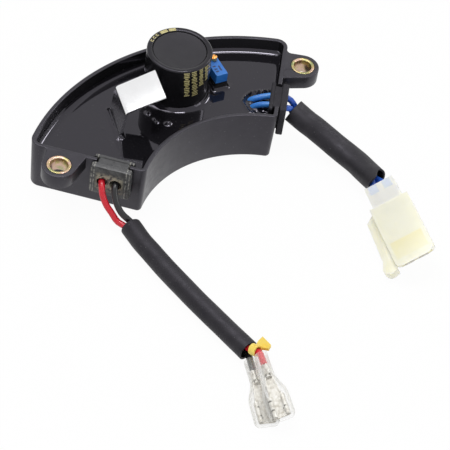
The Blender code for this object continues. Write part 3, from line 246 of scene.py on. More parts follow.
# Tag on the red wire
MARKER_START = 0.0016
MARKER_LENGTH = 0.0028
MARKER_RADIUS = 0.0021
MARKER_BORE = 0.0016
MARKER_SHIFT = (0.0002, 0.0001)
MARKER_FLAG = (0.0062, 0.0010)
MARKER_FLAG_RISE = radians(-4)
MARKER_SLIT = 0.00008
MARKER_NECK = 0.25
MARKER_NEAR = ((0.0034, -0.0008), (0.0029, -0.0068))
MARKER_FAR = ((0.0074, 0.0003), (0.0052, -0.0057))
MARKER_CREASE = (0.5, 0.00022)

# Connector
CONNECTOR = ((0.0444, -0.0661, 0.0016), radians(15.5), radians(2.9), radians(29.5))
REAR_LENGTH = 0.0099
WIRE_IN_CELL = 0.0060
CELLS = (0.00465, 0.01025)
CELL_HEIGHT = 0.00485
CONNECTOR_FACE = (0.0154, 0.0277)
WINDOW_START = 0.0171
WINDOW_END = 0.0030
WINDOW_SIDE = (0.0014, 0.0139)
CONNECTOR_HEIGHT = 0.00975
MOUTH_SLANT = 0.55
SHELL_EDGE = 0.00022
LATCH_INNER = 0.0010

BODY = "regulator"
SCREW_BODY = "adjuster"
STAGE_WHITE = (0.93, 0.93, 0.93)
VIOLET_GLOSS = (0.90, 0.86, 1.0)


def finish_piece(name, mesh, looks, smooth=35, body=BODY, matrix=None):
    """Links a mesh as a shaded piece that rides on a body."""
    made = bpy.data.objects.new(name, mesh)
    if matrix is not None:
        made.matrix_world = matrix
    bpy.context.scene.collection.objects.link(made)
    mesh.materials.clear()
    mesh.materials.append(looks)
    if isinstance(mesh, bpy.types.Mesh):
        mesh.shade_smooth()
        mesh.set_sharp_from_angle(angle=radians(smooth))
    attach(made, body)
    return made

# Lamps: place, aim, size, power, whether only gloss sees it
LAMPS = (
    ("over", (-0.15, 0.25, 1.0), (0, -0.03, 0), (0.62, 0.62), 5.2, False),
    ("front", (0.50, -0.60, 0.25), (0, -0.01, 0.01), (0.4, 0.25), 0.8, False),
    ("zenith_glint", (0.15, -0.05, 1.0), (0, 0, 0), (0.20, 0.20), 3.2, True),
    ("right_glint", (0.75, 0.10, 0.66), (0, 0, 0), (0.14, 0.20), 1.3, True),
)
FLOOR_LIFT = 0.96


# Materials


def shader_of(looks):
    return looks.node_tree.nodes["Principled BSDF"]


def plain_look(name, colour, roughness, metallic=0.0, **sockets):
    looks = bpy.data.materials.new(name)
    looks.use_nodes = True
    shader = shader_of(looks)
    shader.inputs["Base Color"].default_value = (*colour, 1.0)
    shader.inputs["Roughness"].default_value = roughness
    shader.inputs["Metallic"].default_value = metallic
    for socket, value in sockets.items():
        shader.inputs[socket.replace("_", " ")].default_value = value
    return looks


def place_node(looks):
    """The object coordinates that a material's patterns are laid out in."""
    found = looks.node_tree.nodes.get("place")
    if found is None:
        found = looks.node_tree.nodes.new("ShaderNodeTexCoord")
        found.name = "place"
    return found.outputs["Object"]


def noise_value(looks, scale, detail=3.0, stretch=None):
    """A noise pattern with a number of waves to the metre, drawn out along an axis if asked."""
    tree = looks.node_tree
    pattern = tree.nodes.new("ShaderNodeTexNoise")
    pattern.inputs["Scale"].default_value = scale
    pattern.inputs["Detail"].default_value = detail
    where = place_node(looks)
    if stretch is not None:
        mapping = tree.nodes.new("ShaderNodeMapping")
        mapping.inputs["Scale"].default_value = stretch
        tree.links.new(where, mapping.inputs["Vector"])
        where = mapping.outputs["Vector"]
    tree.links.new(where, pattern.inputs["Vector"])
    return pattern.outputs["Fac"]


def ramped(looks, value, stops):
    """A colour ramp over a value, from pairs of place and colour."""
    ramp = looks.node_tree.nodes.new("ShaderNodeValToRGB")
    elements = ramp.color_ramp.elements
    while len(elements) < len(stops):
        elements.new(0.5)
    for element, (place, colour) in zip(elements, stops):
        element.position = place
        element.color = (*colour, 1.0)
    looks.node_tree.links.new(value, ramp.inputs["Fac"])
    return ramp.outputs["Color"]


def spread(looks, value, low, high, start=0.3, end=0.7):
    """A value mapped onto a range."""
    mapped = looks.node_tree.nodes.new("ShaderNodeMapRange")
    mapped.inputs["From Min"].default_value = start
    mapped.inputs["From Max"].default_value = end
    mapped.inputs["To Min"].default_value = low
    mapped.inputs["To Max"].default_value = high
    looks.node_tree.links.new(value, mapped.inputs["Value"])
    return mapped.outputs["Result"]


def colour_by(looks, value, stops):
    looks.node_tree.links.new(ramped(looks, value, stops), shader_of(looks).inputs["Base Color"])


def roughness_by(looks, value, low, high):
    looks.node_tree.links.new(spread(looks, value, low, high), shader_of(looks).inputs["Roughness"])


def bumped(looks, value, height):
    """A relief whose full height is given in metres, on top of any relief already there."""
    tree = looks.node_tree
    bump = tree.nodes.new("ShaderNodeBump")
    bump.inputs["Distance"].default_value = height
    normal = shader_of(looks).inputs["Normal"]
    if normal.is_linked:
        tree.links.new(normal.links[0].from_socket, bump.inputs["Normal"])
    tree.links.new(value, bump.inputs["Height"])
    tree.links.new(bump.outputs["Normal"], normal)


def mixed_over(looks, factor, colour):
    """Lays a colour over the base colour where a factor is high."""
    tree = looks.node_tree
    base = shader_of(looks).inputs["Base Color"]
    mix = tree.nodes.new("ShaderNodeMix")
    mix.data_type = "RGBA"
    if base.is_linked:
        tree.links.new(base.links[0].from_socket, mix.inputs[6])
    else:
        mix.inputs[6].default_value = base.default_value
    mix.inputs[7].default_value = (*colour, 1.0)
    tree.links.new(factor, mix.inputs[0])
    tree.links.new(mix.outputs[2], base)


def moulded_look(name, dark, light, roughness=(0.34, 0.5), grain=2600, relief=0.000012, **sockets):
    """Moulded plastic: faint cloudy tone, fine grain and uneven gloss."""
    looks = plain_look(name, light, roughness[0], **sockets)
    colour_by(looks, noise_value(looks, 160), ((0.3, dark), (0.7, light)))
    roughness_by(looks, noise_value(looks, 420), *roughness)
    bumped(looks, noise_value(looks, grain, 2.0), relief)
    return looks


def dusted(looks, colour, scale=1500, start=0.70, amount=0.5):
    """Sparse fine dust specks."""
    specks = spread(looks, noise_value(looks, scale, 1.0), 0.0, amount, start, start + 0.06)
    mixed_over(looks, specks, colour)
    return looks


def worked_look(name, colour, roughness, metallic=0.0, tone=None, gloss=None, relief=None, **sockets):
    """A look whose tone, gloss and relief each follow a noise pattern of their own."""
    looks = plain_look(name, colour, roughness, metallic, **sockets)
    if tone:
        colour_by(looks, noise_value(looks, *tone[0]), tone[1])
    if gloss:
        roughness_by(looks, noise_value(looks, *gloss[0]), *gloss[1:])
    if relief:
        bumped(looks, noise_value(looks, *relief[0]), relief[1])
    return looks


def wet_inside(looks):
    """Makes the tray's inner walls, which potting has run over, black and shiny."""
    tree = looks.node_tree
    wet = tree.nodes.new("ShaderNodeAttribute")
    wet.attribute_name = "wet"
    streaks = spread(looks, noise_value(looks, 260, 3.0, stretch=(1, 1, 0.3)), 0.7, 1.0, 0.3, 0.5)
    share = multiplied(looks, wet.outputs["Fac"], streaks)
    mixed_over(looks, share, (0.011, 0.011, 0.012))
    rough = shader_of(looks).inputs["Roughness"]
    mix = tree.nodes.new("ShaderNodeMix")
    tree.links.new(share, mix.inputs[0])
    tree.links.new(rough.links[0].from_socket, mix.inputs[2])
    mix.inputs[3].default_value = WET_GLOSS
    tree.links.new(mix.outputs[0], rough)
    return looks


def cooled(looks, level=None):
    """Gives a black surface the faint violet cast of its gloss."""
    shader = shader_of(looks)
    shader.inputs["Specular Tint"].default_value = (*VIOLET_GLOSS, 1.0)
    if level is not None:
        shader.inputs["Specular IOR Level"].default_value = level
    return looks


def make_smeared():
    """Grey rubber with pale resin smears round the wires, a top painted lighter grey as light from above, and
    broken pale edge lines.
    """
    looks = worked_look("smeared_rubber", (0.1, 0.1, 0.09), 0.4, tone=((640, 8.0), (
        (0.38, (0.008, 0.008, 0.009)), (0.50, (0.024, 0.024, 0.025)), (0.66, (0.060, 0.060, 0.059)),
    )))
    along = local_value(looks, end_matrix(-1), (0, 1, 0))
    side = band(looks, along, *SMEAR_ALONG, SMEAR_SOFT)
    high = band(looks, local_value(looks, end_matrix(-1), (0, 0, 1)), *SMEAR_UP, SMEAR_SOFT)
    cloud = spread(looks, noise_value(looks, 560, 8.0), 0.0, 0.95, 0.42, 0.53)
    mixed_over(looks, multiplied(looks, side, high, cloud), (0.33, 0.30, 0.22))
    # Upward faces are painted a lighter grey, broken by noise: painted light from above.
    upward = looks.node_tree.nodes.new("ShaderNodeSeparateXYZ")
    looks.node_tree.links.new(place_node(looks).node.outputs["Normal"], upward.inputs[0])
    top_light_noise = spread(looks, noise_value(looks, 900, 5.0), 0.65, 1.0)
    painted_top_light = multiplied(looks, spread(looks, upward.outputs["Z"], 0.0, 1.0, 0.6, 0.9), top_light_noise)
    mixed_over(looks, painted_top_light, (0.052, 0.052, 0.056))
    for edge in SMEAR_EDGES:
        line = band(looks, along, edge - SMEAR_LINE, edge + SMEAR_LINE, 0.0001)
        broken = spread(looks, noise_value(looks, 800, 4.0), 0.0, 0.8, 0.44, 0.56)
        mixed_over(looks, multiplied(looks, line, broken), (0.36, 0.35, 0.31))
    roughness_by(looks, noise_value(looks, 500), 0.22, 0.5)
    bumped(looks, noise_value(looks, 1100, 5.0), 0.00018)
    return looks


def make_clear():
    """Milky plastic, clear where it faces the eye and whiter at its edges."""
    looks = worked_look(
        "milky_cover", (0.80, 0.79, 0.75), 0.3,
        tone=((260,), ((0.3, (0.88, 0.87, 0.82)), (0.7, (0.95, 0.94, 0.91)))),
        gloss=((420,), 0.24, 0.4), relief=((300, 3.0), 0.00006), IOR=1.46,
    )
    weight = looks.node_tree.nodes.new("ShaderNodeLayerWeight")
    weight.inputs["Blend"].default_value = 0.42
    milk = spread(looks, weight.outputs["Facing"], 0.065, 0.85, 0.12, 1.0)
    looks.node_tree.links.new(milk, shader_of(looks).inputs["Alpha"])
    return looks


def make_blacks():
    """The black surfaces, each with the violet cast of its gloss."""
    tray = moulded_look("tray_plastic", (0.0140, 0.0134, 0.0160), (0.0215, 0.0205, 0.0245), (0.30, 0.40))
    rubber = moulded_look("black_rubber", (0.0070, 0.0067, 0.0080), (0.0120, 0.0115, 0.0135), (0.48, 0.66))
    resin = worked_look("potting", (0.0090, 0.0085, 0.0105), 0.045,
                        gloss=((60,), 0.03, 0.06), relief=((110, 1.0), 0.00001), IOR=1.53)
    goo = worked_look("resin_skin", (0.011, 0.011, 0.012), 0.08,
                      gloss=((300,), 0.05, 0.2), relief=((520, 3.0), 0.00012), IOR=1.53)
    film = worked_look("shrunk_film", (0.007, 0.007, 0.0078), 0.12, gloss=((150,), 0.14, 0.26),
                       relief=((260, 2.0, (1, 1, 0.12)), 0.00009), IOR=1.5)
    disc = moulded_look("capacitor_disc", (0.010, 0.010, 0.0105), (0.015, 0.015, 0.0155), (0.42, 0.55))
    tube = worked_look(
        "tubing", (0.03, 0.03, 0.032), 0.4,
        tone=((240, 4.0), ((0.3, (0.010, 0.0096, 0.0108)), (0.7, (0.019, 0.0180, 0.0200)))),
        gloss=((380,), 0.42, 0.58), relief=((700, 3.0), 0.00005),
    )
    return {
        "tray": cooled(wet_inside(dusted(tray, (0.12, 0.12, 0.12)))),
        "rubber": cooled(dusted(rubber, (0.1, 0.1, 0.1)), 0.28),
        "resin": cooled(dusted(resin, (0.25, 0.25, 0.25), 1900, 0.73, 0.35)),
        "goo": cooled(goo), "film": cooled(film, 0.36), "disc": cooled(disc, 0.36),
        "tube": cooled(dusted(tube, (0.14, 0.14, 0.14), 1300, 0.71, 0.45), 0.31),
    }


def make_metals():
    streaks = (1300, 3.0, (1, 1, 0.1))
    return {
        "zinc": worked_look("zinc_plating", (0.7, 0.6, 0.4), 0.28, 1.0, ((230, 2.0), (
            (0.30, (0.24, 0.30, 0.15)), (0.42, (0.46, 0.38, 0.17)),
            (0.55, (0.60, 0.40, 0.33)), (0.70, (0.38, 0.38, 0.20)),
        )), ((900,), 0.22, 0.38), ((2200, 3.0, (1, 1, 0.2)), 0.00001)),
        "brass": worked_look("screw_brass", (0.95, 0.52, 0.16), 0.25, 1.0,
                             ((900,), ((0.3, (0.84, 0.38, 0.10)), (0.7, (0.98, 0.58, 0.22)))),
                             ((2600,), 0.2, 0.4)),
        "plate": worked_look("bright_plate", (0.90, 0.90, 0.91), 0.2, 1.0,
                             ((90,), ((0.3, (0.79, 0.79, 0.80)), (0.7, (0.85, 0.85, 0.86)))),
                             ((1400, 3.0, (1, 8, 1)), 0.14, 0.3), ((900, 2.0, (1, 14, 1)), 0.000004)),
        "can": worked_look("can_aluminium", (0.78, 0.78, 0.78), 0.35, 1.0,
                           ((300,), ((0.3, (0.66, 0.66, 0.67)), (0.7, (0.84, 0.84, 0.84)))),
                           (streaks, 0.25, 0.45), (streaks, 0.000008)),
        "tin": make_tin("tinned"),
        "black_tin": make_tin("black_plug_tin", lying_matrix(*BLACK_COVER), BLACK_PLUG_SLOTS),
        "red_tin": make_tin("red_plug_tin", lying_matrix(*RED_COVER), RED_PLUG_SLOTS),
    }


def make_looks():
    looks = {**make_blacks(), **make_metals()}
    looks["smeared"], looks["clear"], looks["nylon"] = make_smeared(), make_clear(), make_nylon()
    looks["ink"] = worked_look("gold_ink", (0.58, 0.50, 0.20), 0.45, 0.0,
                               ((2500,), ((0.35, (0.38, 0.32, 0.10)), (0.6, (0.66, 0.60, 0.30)))),
                               ((1200,), 0.35, 0.6))
    epoxy = moulded_look(
        "device_epoxy", (0.016, 0.016, 0.017), (0.028, 0.028, 0.029), (0.5, 0.7), 3000, 0.00002,
    )
    looks["device"] = dusted(epoxy, (0.1, 0.1, 0.1))
    fine = ((0.38, 0.5), 3500, 0.000008)
    for key, name, dark, light, finish in (
        ("blue_case", "trimmer_blue", (0.020, 0.165, 0.58), (0.030, 0.215, 0.68), fine),
        ("dark_print", "dark_print", (0.01, 0.03, 0.12), (0.012, 0.04, 0.15), ()),
        ("tag", "yellow_tag", (0.97, 0.68, 0.09), (1.0, 0.82, 0.19), ((0.35, 0.5), 1500, 0.00002)),
        ("board", "board_laminate", (0.02, 0.11, 0.045), (0.035, 0.17, 0.07), ((0.4, 0.6), 900, 0.00003)),
        ("red", "red_insulation", (0.60, 0.008, 0.022), (0.74, 0.018, 0.040), INSULATION),
        ("black", "black_insulation", (0.008, 0.008, 0.010), (0.014, 0.014, 0.016), INSULATION),
        ("blue", "blue_insulation", (0.020, 0.095, 0.52), (0.036, 0.145, 0.64), INSULATION),
        # Paler copy of the blue insulation for the same wires' inner run: painted light, not a different dye.
        ("lit_blue", "lit_blue_insulation", (0.030, 0.200, 0.66), (0.060, 0.300, 0.80), INSULATION),
    ):
        looks[key] = moulded_look(name, dark, light, *finish)
    return looks


def local_value(looks, frame_matrix, axis):
    """How far a place lies along one axis of a frame, in metres."""
    direction = frame_matrix.to_3x3() @ Vector(axis)
    tree = looks.node_tree
    along = tree.nodes.new("ShaderNodeVectorMath")
    along.operation = "DOT_PRODUCT"
    along.inputs[1].default_value = direction
    tree.links.new(place_node(looks), along.inputs[0])
    less = tree.nodes.new("ShaderNodeMath")
    less.operation = "SUBTRACT"
    less.inputs[1].default_value = frame_matrix.translation.dot(direction)
    tree.links.new(along.outputs["Value"], less.inputs[0])
    return less.outputs[0]


def multiplied(looks, *values):
    found = values[0]
    for value in values[1:]:
        times = looks.node_tree.nodes.new("ShaderNodeMath")
        times.operation = "MULTIPLY"
        looks.node_tree.links.new(found, times.inputs[0])
        looks.node_tree.links.new(value, times.inputs[1])
        found = times.outputs[0]
    return found


def band(looks, value, low, high, soft):
    """One inside a range of a value and zero outside it, with soft ends."""
    rising = spread(looks, value, 0.0, 1.0, low - soft, low + soft)
    falling = spread(looks, value, 1.0, 0.0, high - soft, high + soft)
    return multiplied(looks, rising, falling)


def make_tin(name, matrix=None, slots=()):
    """Tinned sheet with a brassy cast, and painted shade where its slots lie at places in a plug's own frame.
    """
    looks = plain_look(name, (0.70, 0.68, 0.62), 0.6, 0.45)
    colour_by(looks, noise_value(looks, 700, 4.0), (
        (0.32, (0.46, 0.43, 0.37)), (0.5, (0.67, 0.65, 0.60)), (0.7, (0.78, 0.77, 0.74)),
    ))
    roughness_by(looks, noise_value(looks, 1500), 0.42, 0.66)
    bumped(looks, noise_value(looks, 1800, 3.0), 0.00003)
    half_x, half_y = (size / 2 for size in PLUG_SLOT_SIZE)
    for x, y in slots:
        across = band(looks, local_value(looks, matrix, (1, 0, 0)), x - half_x, x + half_x, 0.0001)
        along = band(looks, local_value(looks, matrix, (0, 1, 0)), y - half_y, y + half_y, 0.0001)
        # Near-black patches over the slots: painted shade of the openings.
        mixed_over(looks, multiplied(looks, across, along), (0.02, 0.02, 0.015))
    return looks


def make_nylon():
    """Milky nylon: yellower over the open mouth, cooler at the rear, bluish where wires show through, with a
    faint painted glow that lifts its shade.
    """
    looks = plain_look("cream_nylon", (0.74, 0.71, 0.56), 0.38, IOR=1.53)
    shader = shader_of(looks)
    shader.inputs["Subsurface Weight"].default_value = 0.85
    shader.inputs["Subsurface Radius"].default_value = (0.0040, 0.0038, 0.0028)
    shader.inputs["Subsurface Scale"].default_value = 0.8
    # A faint cream emission lifts the nylon's shaded parts: painted light, not a lamp.
    shader.inputs["Emission Color"].default_value = (1.0, 0.97, 0.82, 1.0)
    shader.inputs["Emission Strength"].default_value = 0.09
    colour_by(looks, noise_value(looks, 180), ((0.3, (0.825, 0.81, 0.67)), (0.7, (0.855, 0.84, 0.70))))
    matrix = lying_matrix(*CONNECTOR)
    across = local_value(looks, matrix, (1, 0, 0))
    along = local_value(looks, matrix, (0, 1, 0))
    mixed_over(looks, spread(looks, along, 0.0, 1.0, -0.0003, 0.0003), (0.90, 0.885, 0.77))
    length = CONNECTOR_FACE[1]
    low, high = WINDOW_SIDE
    deepest = spread(looks, along, 0.35, 1.0, WINDOW_END - length, -WINDOW_START)
    window = multiplied(
        looks, band(looks, across, low, high, 0.0003), deepest,
        band(looks, along, WINDOW_END - length, -WINDOW_START, 0.0004),
    )
    mixed_over(looks, window, (0.84, 0.78, 0.50))
    for cell in CELLS:
        blue = multiplied(
            looks, band(looks, across, cell - 0.0017, cell + 0.0017, 0.0002),
            spread(looks, along, 0.0, 0.75, WIRE_IN_CELL - 0.0002, WIRE_IN_CELL + 0.0002),
        )
        mixed_over(looks, blue, (0.56, 0.66, 0.82))
    roughness_by(looks, noise_value(looks, 400), 0.3, 0.45)
    bumped(looks, noise_value(looks, 500, 2.0), 0.00002)
    return looks


# Shapes


def mesh_of(name, verts, faces):
    bm = bmesh.new()
    points = [bm.verts.new(v) for v in verts]
    for face in faces:
        bm.faces.new([points[n] for n in face])
    bmesh.ops.recalc_face_normals(bm, faces=bm.faces)
    mesh = bpy.data.meshes.new(name)
    bm.to_mesh(mesh)
    bm.free()
    return mesh


def loft(name, rings, closed=False):
    """A skin over rings of equal point counts, capped unless it closes on itself."""
    count = len(rings[0])
    verts = [point for ring in rings for point in ring]
    faces = []
    spans = len(rings) if closed else len(rings) - 1
    for row in range(spans):
        near = row * count
        far = (row + 1) % len(rings) * count
        for n in range(count):
            faces.append((near + n - 1 if n else near + count - 1, near + n, far + n,
                          far + n - 1 if n else far + count - 1))
    if not closed:
        faces.append(tuple(range(count)))
        faces.append(tuple(range((len(rings) - 1) * count, len(rings) * count)))
    return mesh_of(name, verts, faces)


def lathe(name, profile, steps=96, closed=False):
    """A profile of radii and heights turned about Z. Points on the axis are shared."""
    verts = []
    rows = []
    for radius, height in profile:
        if radius == 0:
            rows.append([len(verts)] * steps)
            verts.append((0, 0, height))
        else:
            rows.append([len(verts) + n for n in range(steps)])
            for n in range(steps):
                verts.append((radius * cos(2 * pi * n / steps), radius * sin(2 * pi * n / steps), height))
    faces = []
    pairs = list(zip(rows, rows[1:]))
    if closed:
        pairs.append((rows[-1], rows[0]))
    for upper, lower in pairs:
        for n in range(steps):
            corners = (upper[n - 1], upper[n], lower[n], lower[n - 1])
            face = [c for at, c in enumerate(corners) if c not in corners[:at]]
            if len(face) > 2:
                faces.append(face)
    return mesh_of(name, verts, faces)


def box_mesh(name, low, high):
    low = Vector(low)
    high = Vector(high)
    bm = bmesh.new()
    bmesh.ops.create_cube(bm, size=1.0)
    bm.transform(Matrix.Translation((low + high) / 2) @ Matrix.Diagonal((*(high - low), 1.0)))
    mesh = bpy.data.meshes.new(name)
    bm.to_mesh(mesh)
    bm.free()
    return mesh


def rounded_prism(name, outlines, height, edge, steps=2):
    """Flat outlines thickened to a height, with rounded edges inside their own size."""
    curve = bpy.data.curves.new(name, "CURVE")
    curve.dimensions = "2D"
    curve.fill_mode = "BOTH"
    curve.extrude = height / 2 - edge
    curve.bevel_depth = edge
    curve.bevel_resolution = steps
    curve.offset = -edge
    for outline in outlines:
        spline = curve.splines.new("POLY")
        spline.points.add(len(outline) - 1)
        spline.use_cyclic_u = True
        for point, (x, y) in zip(spline.points, outline):
            point.co = (x, y, 0.0, 1.0)
    return baked_curve(curve)


def baked_curve(curve):
    holder = bpy.data.objects.new(curve.name, curve)
    bpy.context.scene.collection.objects.link(holder)
    graph = bpy.context.evaluated_depsgraph_get()
    mesh = bpy.data.meshes.new_from_object(holder.evaluated_get(graph))
    bpy.data.objects.remove(holder)
    bm = bmesh.new()
    bm.from_mesh(mesh)
    bmesh.ops.remove_doubles(bm, verts=bm.verts, dist=1e-6)
    bmesh.ops.recalc_face_normals(bm, faces=bm.faces)
    bm.to_mesh(mesh)
    bm.free()
    return mesh


def arc(centre, radius, start, end, steps):
    angles = [start + (end - start) * n / steps for n in range(steps + 1)]
    return [(centre[0] + radius * cos(a), centre[1] + radius * sin(a)) for a in angles]


def carved(mesh, *changes):
    """The mesh after boolean steps, each an operation with its tool mesh and matrix."""
    base = bpy.data.objects.new("carving", mesh)
    bpy.context.scene.collection.objects.link(base)
    tools = []
    for operation, tool_mesh, matrix in changes:
        tool = bpy.data.objects.new("tool", tool_mesh)
        tool.matrix_world = matrix
        bpy.context.scene.collection.objects.link(tool)
        modifier = base.modifiers.new("step", "BOOLEAN")
        modifier.operation = operation
        modifier.object = tool
        modifier.solver = "EXACT"
        tools.append(tool)
    graph = bpy.context.evaluated_depsgraph_get()
    result = bpy.data.meshes.new_from_object(base.evaluated_get(graph))
    for used in [base, *tools]:
        bpy.data.objects.remove(used)
    return result


def end_matrix(side):
    """The frame of an end wall: X out of the wall times side, Y away from the arc's centre."""
    return Matrix.Translation((0, ARC_CENTRE_Y, 0)) @ Matrix.Rotation(-side * END_ANGLE, 4, "Z")


def end_point(side, out, along, up):
    return end_matrix(side) @ Vector((side * out, along, up))


def draft_inset(height):
    return (TRAY_HEIGHT - height) * DRAFT


def sector_ring(inset, height):
    """The tray's outline in plan, moved inwards by an inset, as one closed ring."""
    outer = OUTER_RADIUS - inset
    inner = INNER_RADIUS + inset
    outer_fillet = max(OUTER_CORNER - inset, LEAST_CORNER)
    inner_fillet = max(INNER_CORNER - inset, LEAST_CORNER)
    outer_along = sqrt((outer - outer_fillet) ** 2 - (inset + outer_fillet) ** 2)
    inner_along = sqrt((inner + inner_fillet) ** 2 - (inset + inner_fillet) ** 2)
    outer_turn = END_ANGLE - atan2(inset + outer_fillet, outer_along)
    inner_turn = END_ANGLE - atan2(inset + inner_fillet, inner_along)
    outer_centre = (
        outer_along * sin(END_ANGLE) - (inset + outer_fillet) * cos(END_ANGLE),
        outer_along * cos(END_ANGLE) + (inset + outer_fillet) * sin(END_ANGLE),
    )
    inner_centre = (
        inner_along * sin(END_ANGLE) - (inset + inner_fillet) * cos(END_ANGLE),
        inner_along * cos(END_ANGLE) + (inset + inner_fillet) * sin(END_ANGLE),
    )
    right = arc((0, 0), outer, pi / 2, pi / 2 - outer_turn, 44)[:-1]
    right += arc(outer_centre, outer_fillet, pi / 2 - outer_turn, -END_ANGLE, 10)
    right += arc(inner_centre, inner_fillet, -END_ANGLE, -pi / 2 - inner_turn, 8)
    right += arc((0, 0), inner, pi / 2 - inner_turn, pi / 2, 30)[1:]
    left = [(-x, y) for x, y in reversed(right[1:-1])]
    return [Vector((x, y + ARC_CENTRE_Y, height)) for x, y in right + left]


# Tray and ears


def ear_outline(side):
    centre = (EAR_REACH, EAR_ALONG)
    root = (-WALL / 2, EAR_ALONG - EAR_ROOT)
    to_root = (root[0] - centre[0], root[1] - centre[1])
    slant = atan2(to_root[1], to_root[0]) + atan2(
        sqrt(hypot(*to_root) ** 2 - EAR_RADIUS ** 2), EAR_RADIUS
    )
    edge = EAR_ALONG + EAR_RADIUS
    outline = [root]
    outline += arc(centre, EAR_RADIUS, slant, pi / 2, 40)
    outline += arc((EAR_FILLET, edge + EAR_FILLET), EAR_FILLET, -pi / 2, -pi, 8)
    outline.append((-WALL / 2, edge + EAR_FILLET))
    return [(side * x, y) for x, y in outline]


def tray_rings():
    rings = []
    for n in range(7):
        turn = n * pi / 12
        height = BOTTOM_EDGE * (1 - cos(turn))
        rings.append(sector_ring(draft_inset(height) + BOTTOM_EDGE * (1 - sin(turn)), height))
    for n in range(4):
        turn = n * pi / 6
        rings.append(sector_ring(RIM_ROUND * (1 - cos(turn)), TRAY_HEIGHT - RIM_ROUND * (1 - sin(turn))))
    for n in range(4):
        turn = n * pi / 6
        level = TRAY_HEIGHT - RIM_ROUND * (1 - cos(turn))
        rings.append(sector_ring(WALL - RIM_ROUND * (1 - sin(turn)), level))
    rings.append(sector_ring(WALL + draft_inset(FLOOR), FLOOR))
    return rings


def ring_groove(radius):
    """A tool that cuts a thin round groove, such as an ejector pin leaves."""
    width, depth = MARK_GROOVE
    profile = [(radius, depth), (radius + width, depth), (radius + width, -depth), (radius, -depth)]
    return lathe("groove", profile, 48, closed=True)


def mark_inside(mesh):
    """Marks the faces of the tray's inner walls for its material."""
    wet = mesh.attributes.new("wet", "FLOAT", "CORNER")
    for face in mesh.polygons:
        x, y, z = face.center
        radius = hypot(x, y - ARC_CENTRE_Y)
        to_end = radius * sin(END_ANGLE - abs(atan2(x, y - ARC_CENTRE_Y)))
        inset = min(OUTER_RADIUS - radius, radius - INNER_RADIUS, to_end)
        inside = inset > WALL - RIM_ROUND / 2 and FLOOR < z < TRAY_HEIGHT - RIM_ROUND
        for corner in face.loop_indices:
            wet.data[corner].value = min(1.0, max(WET_LEAST, (x - WET_FROM) / WET_OVER)) if inside else 0.0


def make_tray(looks):
    steps = []
    for side in (-1, 1):
        frame_matrix = end_matrix(side)
        middle = Matrix.Translation((0, 0, TRAY_HEIGHT - EAR_THICKNESS / 2))
        ear = rounded_prism("ear", [ear_outline(side)], EAR_THICKNESS, RIM_ROUND)
        steps.append(("UNION", ear, frame_matrix @ middle))
    for side in (-1, 1):
        reach = SLEEVE_OUTER + SLEEVE_CLEARANCE
        profile = [(0, 0.03), (reach, 0.03), (reach, 0.012), (0, 0.012)]
        spot = Matrix.Translation(end_point(side, EAR_REACH, EAR_ALONG, 0))
        steps.append(("DIFFERENCE", lathe("bore", profile, 72), spot))
        half = GROMMET_NECK_HALF + 0.0003
        low = (-3 * WALL, GROMMET_ALONG - half, GROMMET_BOTTOM + GROMMET_NECK_DROP - 0.0003)
        high = (3 * WALL, GROMMET_ALONG + half, 0.03)
        steps.append(("DIFFERENCE", box_mesh("slot", low, high), end_matrix(side)))
    for x, y, radius in EJECTOR_MARKS:
        steps.append(("DIFFERENCE", ring_groove(radius), Matrix.Translation((x, y, TRAY_HEIGHT))))
    mesh = carved(loft("tray", tray_rings()), *steps)
    mark_inside(mesh)
    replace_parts(finish_piece("tray", mesh, looks["tray"], 32), "housing")


def make_ear_sleeve(side, word, looks):
    low, high = (corner.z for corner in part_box(word + "_ear_sleeve"))
    outer, bore = SLEEVE_OUTER, SLEEVE_BORE
    soft = 0.00025
    flare = 0.0004
    profile = [(bore + flare, high)]
    profile += arc((outer - soft, high - soft), soft, pi / 2, 0, 4)
    profile += arc((outer - soft, low + soft), soft, 0, -pi / 2, 4)
    profile += [(bore + flare, low), (bore + flare / 3, low + flare / 3), (bore, low + flare)]
    profile += [(bore, high - flare), (bore + flare / 3, high - flare / 3)]
    mesh = lathe(word + "_sleeve", profile, 72, closed=True)
    spot = Matrix.Translation(end_point(side, EAR_REACH, EAR_ALONG, 0))
    mesh.transform(spot)
    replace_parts(finish_piece(word + "_sleeve", mesh, looks["zinc"], 40), word + "_ear_sleeve")


# Grommets


def rounded_ring(out, half, bottom, top, corner, side):
    ring = []
    for turn, y, z in (
        (0, half - corner, top - corner), (pi / 2, corner - half, top - corner),
        (pi, corner - half, bottom + corner), (3 * pi / 2, half - corner, bottom + corner),
    ):
        for across, up in arc((y, z), corner, turn, turn + pi / 2, 6):
            ring.append(Vector((side * out, GROMMET_ALONG + across, up)))
    return ring


